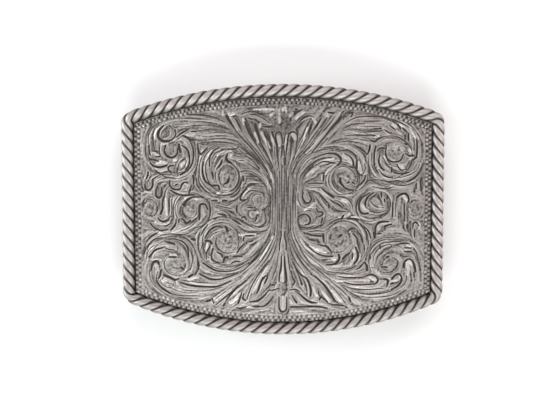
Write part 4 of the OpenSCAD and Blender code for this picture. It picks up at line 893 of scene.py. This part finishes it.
def make_object(name, points, faces, smooth, patina_and_painted_light):
    """A piece of the fixed body from points in millimetres, with how dark each point is."""
    mesh = bpy.data.meshes.new(name)
    faces = [[int(i) for i in face] for face in faces]
    mesh.from_pydata((np.asarray(points) * MM).tolist(), [], faces)
    mesh.polygons.foreach_set("use_smooth", np.broadcast_to(smooth, (len(faces),)).tolist())
    # the attribute holds patina together with painted light and shade
    layer = mesh.attributes.new("patina_and_painted_light", "FLOAT", "POINT")
    layer.data.foreach_set("value", np.asarray(patina_and_painted_light, np.float32))
    mesh.update()
    piece = bpy.data.objects.new(name, mesh)
    bpy.context.scene.collection.objects.link(piece)
    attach(piece, "root")
    return piece


def quads(grid):
    """The faces between the points of a grid of point numbers."""
    corners = [grid[:-1, :-1], grid[1:, :-1], grid[1:, 1:], grid[:-1, 1:]]
    return np.stack(corners, -1).reshape(-1, 4).tolist()


def strip(a, b):
    """The faces between two rows of point numbers."""
    return np.stack([a[:-1], b[:-1], b[1:], a[1:]], -1).tolist()


def flipped(faces):
    return [face[::-1] for face in faces]


def blurred(grid, cells):
    """Gaussian blur of a grid, its edges repeated."""
    reach = int(3 * cells)
    kernel = np.exp(-0.5 * (np.arange(-reach, reach + 1) / cells) ** 2)
    kernel /= kernel.sum()
    for axis in (0, 1):
        padded = np.pad(grid, [(reach, reach) if a == axis else (0, 0) for a in (0, 1)], "edge")
        grid = sum(
            k * np.take(padded, range(i, i + grid.shape[axis]), axis)
            for i, k in enumerate(kernel)
        )
    return grid


def tarnish_and_painted_light(h, dark, cell):
    """Patina and painted light from the relief's dark values: darker too where the surface lies below what
    is round it, below 0 on crests.
    """
    hollow = np.clip((blurred(h, HOLLOW_REACH / cell) - h) / HOLLOW_DEPTH, 0, 1)
    return np.clip(0.2 + 0.7 * dark + 0.3 * hollow, -0.3, 1)


def field_half(name, side, hatch):
    """One half of the raised field, a closed solid with its relief on top."""
    cols, rows = FIELD_COLUMNS, FIELD_ROWS
    edge_u = np.linspace(0, FIELD_U, cols)
    u = np.repeat(edge_u[:, None], rows, 1)
    y = field_half_height(edge_u)[:, None] * np.linspace(-1, 1, rows)[None, :]
    h, dark = relief(u, y, side, hatch)
    patina_and_painted_light = tarnish_and_painted_light(h, dark, FIELD_U / (cols - 1))
    x = side * u
    points = [np.stack([x, y, face_z(x) + h], -1).reshape(-1, 3)]
    edge = np.stack([x[:, -1], y[:, -1], face_z(x[:, -1], FIELD_BOTTOM)], -1)
    points += [edge * (1, -1, 1), edge]
    at = np.arange(cols * rows).reshape(cols, rows)
    low = cols * rows + np.arange(cols)
    high = low + cols
    faces = quads(at)
    tops = len(faces)
    faces += strip(at[:, 0], low) + flipped(strip(at[:, -1], high)) + strip(low, high)
    faces += [[low[-1], high[-1], *at[-1, ::-1]], [high[0], low[0], *at[0]]]
    if side < 0:
        faces = flipped(faces)
    smooth = np.arange(len(faces)) < tops
    patina_and_painted_light = np.concatenate([patina_and_painted_light.ravel(), np.ones(2 * cols)])
    piece = make_object(name, np.concatenate(points), faces, smooth, patina_and_painted_light)
    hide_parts("face_plate")
    return piece


def rope_quarter(s):
    """Points of the first quarter of the rope's middle line, from the top's middle, and their turn."""
    a = np.clip(s / ROPE_ARC_R, 0, CORNER_TURN)
    b = np.clip(CORNER_TURN + (s - ARCH_END) / ROPE_CORNER_R, CORNER_TURN, math.pi / 2)
    on_arch, on_side = s < ARCH_END, s > CORNER_END
    x = np.where(on_arch, ROPE_ARC_R * np.sin(a), CORNER_X + ROPE_CORNER_R * np.sin(b))
    y = np.where(on_arch, ARC_Y + ROPE_ARC_R * np.cos(a), CORNER_Y + ROPE_CORNER_R * np.cos(b))
    y = np.where(on_side, QUARTER_END - s, y)
    return x, y, np.where(on_arch, a, b)


def rope_line(s):
    """Points of the whole middle line, clockwise from the top's middle, and the way outward there."""
    left = s > 2 * QUARTER_END
    half = np.where(left, 4 * QUARTER_END - s, s)
    low = half > QUARTER_END
    x, y, turn = rope_quarter(np.where(low, 2 * QUARTER_END - half, half))
    sx, sy = np.where(left, -1, 1), np.where(low, -1, 1)
    return sx * x, sy * y, sx * np.sin(turn), sy * np.cos(turn)


def rope_patina_and_painted_shade(gap, rise, a, y, ny):
    """How dark each rope point is from its place across a strand and round the rope: patina, painted shade.
    """
    height = np.clip(rise / ROPE_R, 0, 1)
    grooves = np.clip((gap - 0.3 - 0.28 * height) / 0.6, 0, ROPE_TONES["groove"])
    inner = np.clip(-np.cos(a), 0, 1)
    # patina and painted shade where the rope lies low beside the plate
    low = np.clip((0.6 * inner - rise) / 0.9, 0, 1) * ROPE_TONES["inner"]
    # painted shade: the sides that face +y are darker
    upper = np.clip(ny[:, None] * np.cos(a), 0, 1)
    bottom = np.clip(-y / 30, 0, 1)[:, None]
    return np.maximum(grooves, low) + ROPE_TONES["upper"] * upper + ROPE_TONES["bottom"] * bottom


def rope_rim():
    """The rope, a closed ring of strands that turn round its middle line, pressed flat below."""
    rings, sides = ROPE_TURNS * ROPE_RINGS_PER_TURN, STRANDS * STRAND_SIDES
    k = np.arange(rings)
    x, y, nx, ny = rope_line(4 * QUARTER_END * k / rings)
    lean = np.arcsin(x / BEND_R)
    out = np.stack([nx * np.cos(lean), ny, -nx * np.sin(lean)], -1)[:, None, :]
    up = np.stack([np.sin(lean), 0 * lean, np.cos(lean)], -1)[:, None, :]
    middle = np.stack([x, y, face_z(x)], -1)[:, None, :]
    across = np.sin((np.arange(STRAND_SIDES) / STRAND_SIDES * 2 - 1) * math.pi / 2)
    r = np.tile(ROPE_R - STRAND_GROOVE * (1 - np.sqrt(1 - across**2)), STRANDS)
    phase = np.concatenate([(n + across / 2) * 2 * math.pi / STRANDS for n in range(STRANDS)])
    a = phase[None, :] - (2 * math.pi * k / ROPE_RINGS_PER_TURN)[:, None]
    rise = np.maximum(r[None, :] * np.sin(a), -ROPE_FLAT)
    points = middle + (r[None, :] * np.cos(a))[..., None] * out + rise[..., None] * up
    patina_and_painted_light = rope_patina_and_painted_shade(np.tile(np.abs(across), STRANDS), rise, a, y, ny)
    at = np.arange(rings * sides).reshape(rings, sides)
    ahead = np.roll(at, -1, 0)
    corners = [at, ahead, np.roll(ahead, -1, 1), np.roll(at, -1, 1)]
    faces = np.stack(corners, -1).reshape(-1, 4).tolist()
    piece = make_object("rope_rim", points.reshape(-1, 3), faces, True, patina_and_painted_light.ravel())
    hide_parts("rope_edge")
    return piece


def plate_outline(reach, depth):
    """The plate's upper edge from left to right, at a reach outside the rope's middle line."""
    arch = np.linspace(0, PLATE_ARCH_END, PLATE_ARCH_SAMPLES)
    corner = np.linspace(PLATE_CORNER_START, CORNER_END, PLATE_CORNER_SAMPLES)
    x, y, turn = rope_quarter(np.concatenate([arch, corner]))
    x, y = x + reach * np.sin(turn), y + reach * np.cos(turn)
    x, y = np.concatenate([-x[:0:-1], x]), np.concatenate([y[:0:-1], y])
    return np.stack([x, y, face_z(x, depth)], -1)


def plate_body():
    """The bent plate below the field: rim on top, plain underside and a softened edge."""
    rings = [plate_outline(reach, depth) for reach, depth in PLATE_EDGE]
    cols, rows = len(rings[0]), PLATE_ROWS
    scale = np.ones((rows, 3))
    scale[:, 1] = np.linspace(-1, 1, rows)
    points = [(ring[:, None, :] * scale).reshape(-1, 3) for ring in (rings[0], rings[3])]
    points += [ring * (1, sign, 1) for ring in rings[1:3] for sign in (-1, 1)]
    patina_and_painted_light = [PLATE_TOP_PATINA, BACK_PATINA, PLATE_WALL_PATINA]
    patina_and_painted_light = np.repeat(patina_and_painted_light, [cols * rows, cols * rows, 4 * cols])
    top = np.arange(cols * rows).reshape(cols, rows)
    under = top + cols * rows
    wall = 2 * cols * rows + np.arange(4 * cols).reshape(4, cols)
    faces = quads(top) + flipped(quads(under))
    front = [top[:, 0], wall[0], wall[2], under[:, 0]]
    back = [top[:, -1], wall[1], wall[3], under[:, -1]]
    for a, b in zip(front, front[1:]):
        faces += strip(a, b)
    for a, b in zip(back, back[1:]):
        faces += flipped(strip(a, b))
    for end in (0, -1):
        upper, lower = wall[:2, end], wall[2:, end]
        side = [[*upper, *top[end, ::-1]], [*lower, *upper[::-1]], [*under[end], *lower[::-1]]]
        faces += flipped(side) if end == 0 else side
    piece = make_object("plate_body", np.concatenate(points), faces, False, patina_and_painted_light)
    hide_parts("face_plate")
    return piece


def seat(name, x, y, r, bottom):
    """A round flat seat on the back, for the foot of the loop or of the hook."""
    n = SEAT_SIDES
    turn = np.arange(n) * 2 * math.pi / n
    top = face_z(x, PLATE_T - SEAT_SINK)
    rings = [(r - SEAT_EDGE, bottom), (r, bottom + SEAT_EDGE), (r, top)]
    points = [(x + ring * math.cos(t), y + ring * math.sin(t), z) for ring, z in rings for t in turn]
    faces = [range(n)[::-1], range(2 * n, 3 * n)]
    for k in (0, n):
        faces += [[k + j, k + (j + 1) % n, k + n + (j + 1) % n, k + n + j] for j in range(n)]
    piece = make_object(name, points, faces, False, np.full(len(points), BACK_PATINA))
    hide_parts("face_plate")
    return piece


# Metal
CLOUD_MM, CLOUD_DETAIL, CLOUD_SHARE = 4, 3.0, 0.22     # broad patches in the patina
GRAIN_DETAIL = 2.0
# the polished colour is partly polish, partly painted highlight
POLISH, POLISH_GLOSS = 1.25, 0.08                # how much brighter and glossier the crests are
BRIGHT_AT, DARK_AT, POLISHED_AT = 0.1, 0.95, -0.2    # patina from which the metal looks so


def noise(nodes, links, place, scale_mm, detail):
    node = nodes.new("ShaderNodeTexNoise")
    node.inputs["Scale"].default_value = 1 / (scale_mm * MM)
    node.inputs["Detail"].default_value = detail
    links.new(place.outputs["Object"], node.inputs["Vector"])
    return node


def metal(name, bright, dark, gloss, matt, grain_mm, grain_depth, speckle=0.0):
    """Plated metal: bright on the crests, dark and duller where the attribute of patina and painted light
    is high.
    """
    material = bpy.data.materials.new(name)
    material.use_nodes = True
    nodes, links = material.node_tree.nodes, material.node_tree.links
    shader = nodes["Principled BSDF"]
    shader.inputs["Metallic"].default_value = 1.0
    place = nodes.new("ShaderNodeTexCoord")
    patina_and_painted_light = nodes.new("ShaderNodeAttribute")
    patina_and_painted_light.attribute_name = "patina_and_painted_light"
    cloud = noise(nodes, links, place, CLOUD_MM, CLOUD_DETAIL)
    grain = noise(nodes, links, place, grain_mm, GRAIN_DETAIL)
    value = patina_and_painted_light.outputs["Fac"]
    for texture, share in ((cloud, CLOUD_SHARE), (grain, speckle)):
        mix = nodes.new("ShaderNodeMath")
        mix.operation = "MULTIPLY_ADD"
        mix.inputs[1].default_value = share
        links.new(texture.outputs["Fac"], mix.inputs[0])
        links.new(value, mix.inputs[2])
        value = mix.outputs[0]
    tone = nodes.new("ShaderNodeValToRGB")
    tone.color_ramp.elements[0].position = 0.0
    tone.color_ramp.elements[0].color = (*(POLISH * part for part in bright), 1)
    tone.color_ramp.elements.new(BRIGHT_AT).color = (*bright, 1)
    tone.color_ramp.elements[2].position = DARK_AT
    tone.color_ramp.elements[2].color = (*dark, 1)
    links.new(value, tone.inputs["Fac"])
    links.new(tone.outputs["Color"], shader.inputs["Base Color"])
    rough = nodes.new("ShaderNodeMapRange")
    rough.inputs["From Min"].default_value = POLISHED_AT
    rough.inputs["To Min"].default_value = gloss - POLISH_GLOSS
    rough.inputs["To Max"].default_value = matt
    links.new(value, rough.inputs["Value"])
    links.new(rough.outputs["Result"], shader.inputs["Roughness"])
    bump = nodes.new("ShaderNodeBump")
    bump.inputs["Strength"].default_value = 1.0
    bump.inputs["Distance"].default_value = grain_depth * MM
    links.new(grain.outputs["Fac"], bump.inputs["Height"])
    links.new(bump.outputs["Normal"], shader.inputs["Normal"])
    return material


def plain(name, color, roughness):
    material = bpy.data.materials.new(name)
    material.use_nodes = True
    shader = material.node_tree.nodes["Principled BSDF"]
    shader.inputs["Base Color"].default_value = (*color, 1)
    shader.inputs["Roughness"].default_value = roughness
    return material


# Camera, light and floor
TILT = math.radians(7.7)     # the camera stands this far from the face's normal, toward the top edge
LENS, SENSOR = 100.0, 36.0
DISTANCE = 422.6
ASIDE, ABOVE = -2.2, 1.24    # shift of the camera, which puts the face right of and below the middle
CLIP = (0.01, 10.0)          # nearest and farthest that it sees, in metres
SKY = 0.34                   # strength of the white surroundings
FLOOR_HALF = 2               # half the floor's width in metres
# name, place and size in metres, power in watts and colour
LAMPS = [
    ("front_box", (0.0, -0.42, 0.44), (0.6, 0.3), 2.3, (0.97, 1, 0.98)),
    ("back_box", (0.1, 0.5, 0.36), (0.6, 0.3), 2.0, (1, 0.93, 0.95)),
    ("left_box", (-0.6, 0.1, 0.3), (0.3, 0.5), 2.8, (0.96, 1, 1)),
    ("right_box", (0.6, 0.1, 0.3), (0.3, 0.5), 1.5, (1, 0.93, 0.94)),
]


def camera():
    data = bpy.data.cameras.new("camera")
    data.lens, data.sensor_width = LENS, SENSOR
    data.clip_start, data.clip_end = CLIP
    eye = bpy.data.objects.new("camera", data)
    away = np.array([0, math.sin(TILT), math.cos(TILT)])
    upward = np.array([0, math.cos(TILT), -math.sin(TILT)])
    place = np.array([ASIDE, 0, FACE_Z]) + DISTANCE * away + ABOVE * upward
    eye.location = (place * MM).tolist()
    eye.rotation_euler = (-TILT, 0, 0)
    bpy.context.scene.collection.objects.link(eye)
    bpy.context.scene.camera = eye


def softbox(name, place, size, power, color):
    """A rectangular lamp that is turned toward the face."""
    data = bpy.data.lights.new(name, "AREA")
    data.shape = "RECTANGLE"
    data.size, data.size_y = size
    data.energy = power
    data.color = color
    lamp = bpy.data.objects.new(name, data)
    lamp.location = place
    toward = Vector((-place[0], -place[1], FACE_Z * MM - place[2]))
    lamp.rotation_euler = toward.to_track_quat("-Z", "Y").to_euler()
    bpy.context.scene.collection.objects.link(lamp)


def floor():
    half = FLOOR_HALF
    mesh = bpy.data.meshes.new("floor")
    corners = [(-half, -half, 0), (half, -half, 0), (half, half, 0), (-half, half, 0)]
    mesh.from_pydata(corners, [], [(0, 1, 2, 3)])
    ground = bpy.data.objects.new("floor", mesh)
    bpy.context.scene.collection.objects.link(ground)
    mesh.materials.append(plain("pale_floor", (0.95, 0.95, 0.95), 0.9))


def surroundings():
    world = bpy.data.worlds.new("studio")
    bpy.context.scene.world = world
    world.use_nodes = True
    sky = world.node_tree.nodes["Background"]
    sky.inputs["Color"].default_value = (1.0, 1.0, 1.0, 1)
    sky.inputs["Strength"].default_value = SKY
    bpy.context.scene.view_settings.view_transform = "Standard"
    for lamp in LAMPS:
        softbox(*lamp)


camera()
surroundings()
floor()

# colours of the bright and the dark metal, roughness of both, grain's size and depth, and speckle
face_metal = metal("engraved_silver", (0.73, 0.685, 0.655), (0.075, 0.064, 0.06), 0.28, 0.6, 0.3, 0.1, 0.12)
rope_metal = metal("rope_silver", (0.56, 0.525, 0.505), (0.1, 0.085, 0.08), 0.55, 0.65, 0.35, 0.06, 0.08)
back_metal = metal("satin_plate", (0.58, 0.565, 0.555), (0.3, 0.29, 0.28), 0.35, 0.5, 0.5, 0.008)

way = flow()
hatch = [hatching(*way, *kind) for kind in (HATCH_FINE, HATCH_WIDE, HATCH_GRAIN)]
for name, side in (("field_left", -1), ("field_right", 1)):
    field_half(name, side, hatch).data.materials.append(face_metal)
plate_body().data.materials.append(face_metal)
for row in SEATS:
    seat(*row).data.materials.append(face_metal)
rope_rim().data.materials.append(rope_metal)
for node in ("belt_loop", "hook_post"):
    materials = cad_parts[node].data.materials
    materials.clear()
    materials.append(back_metal)
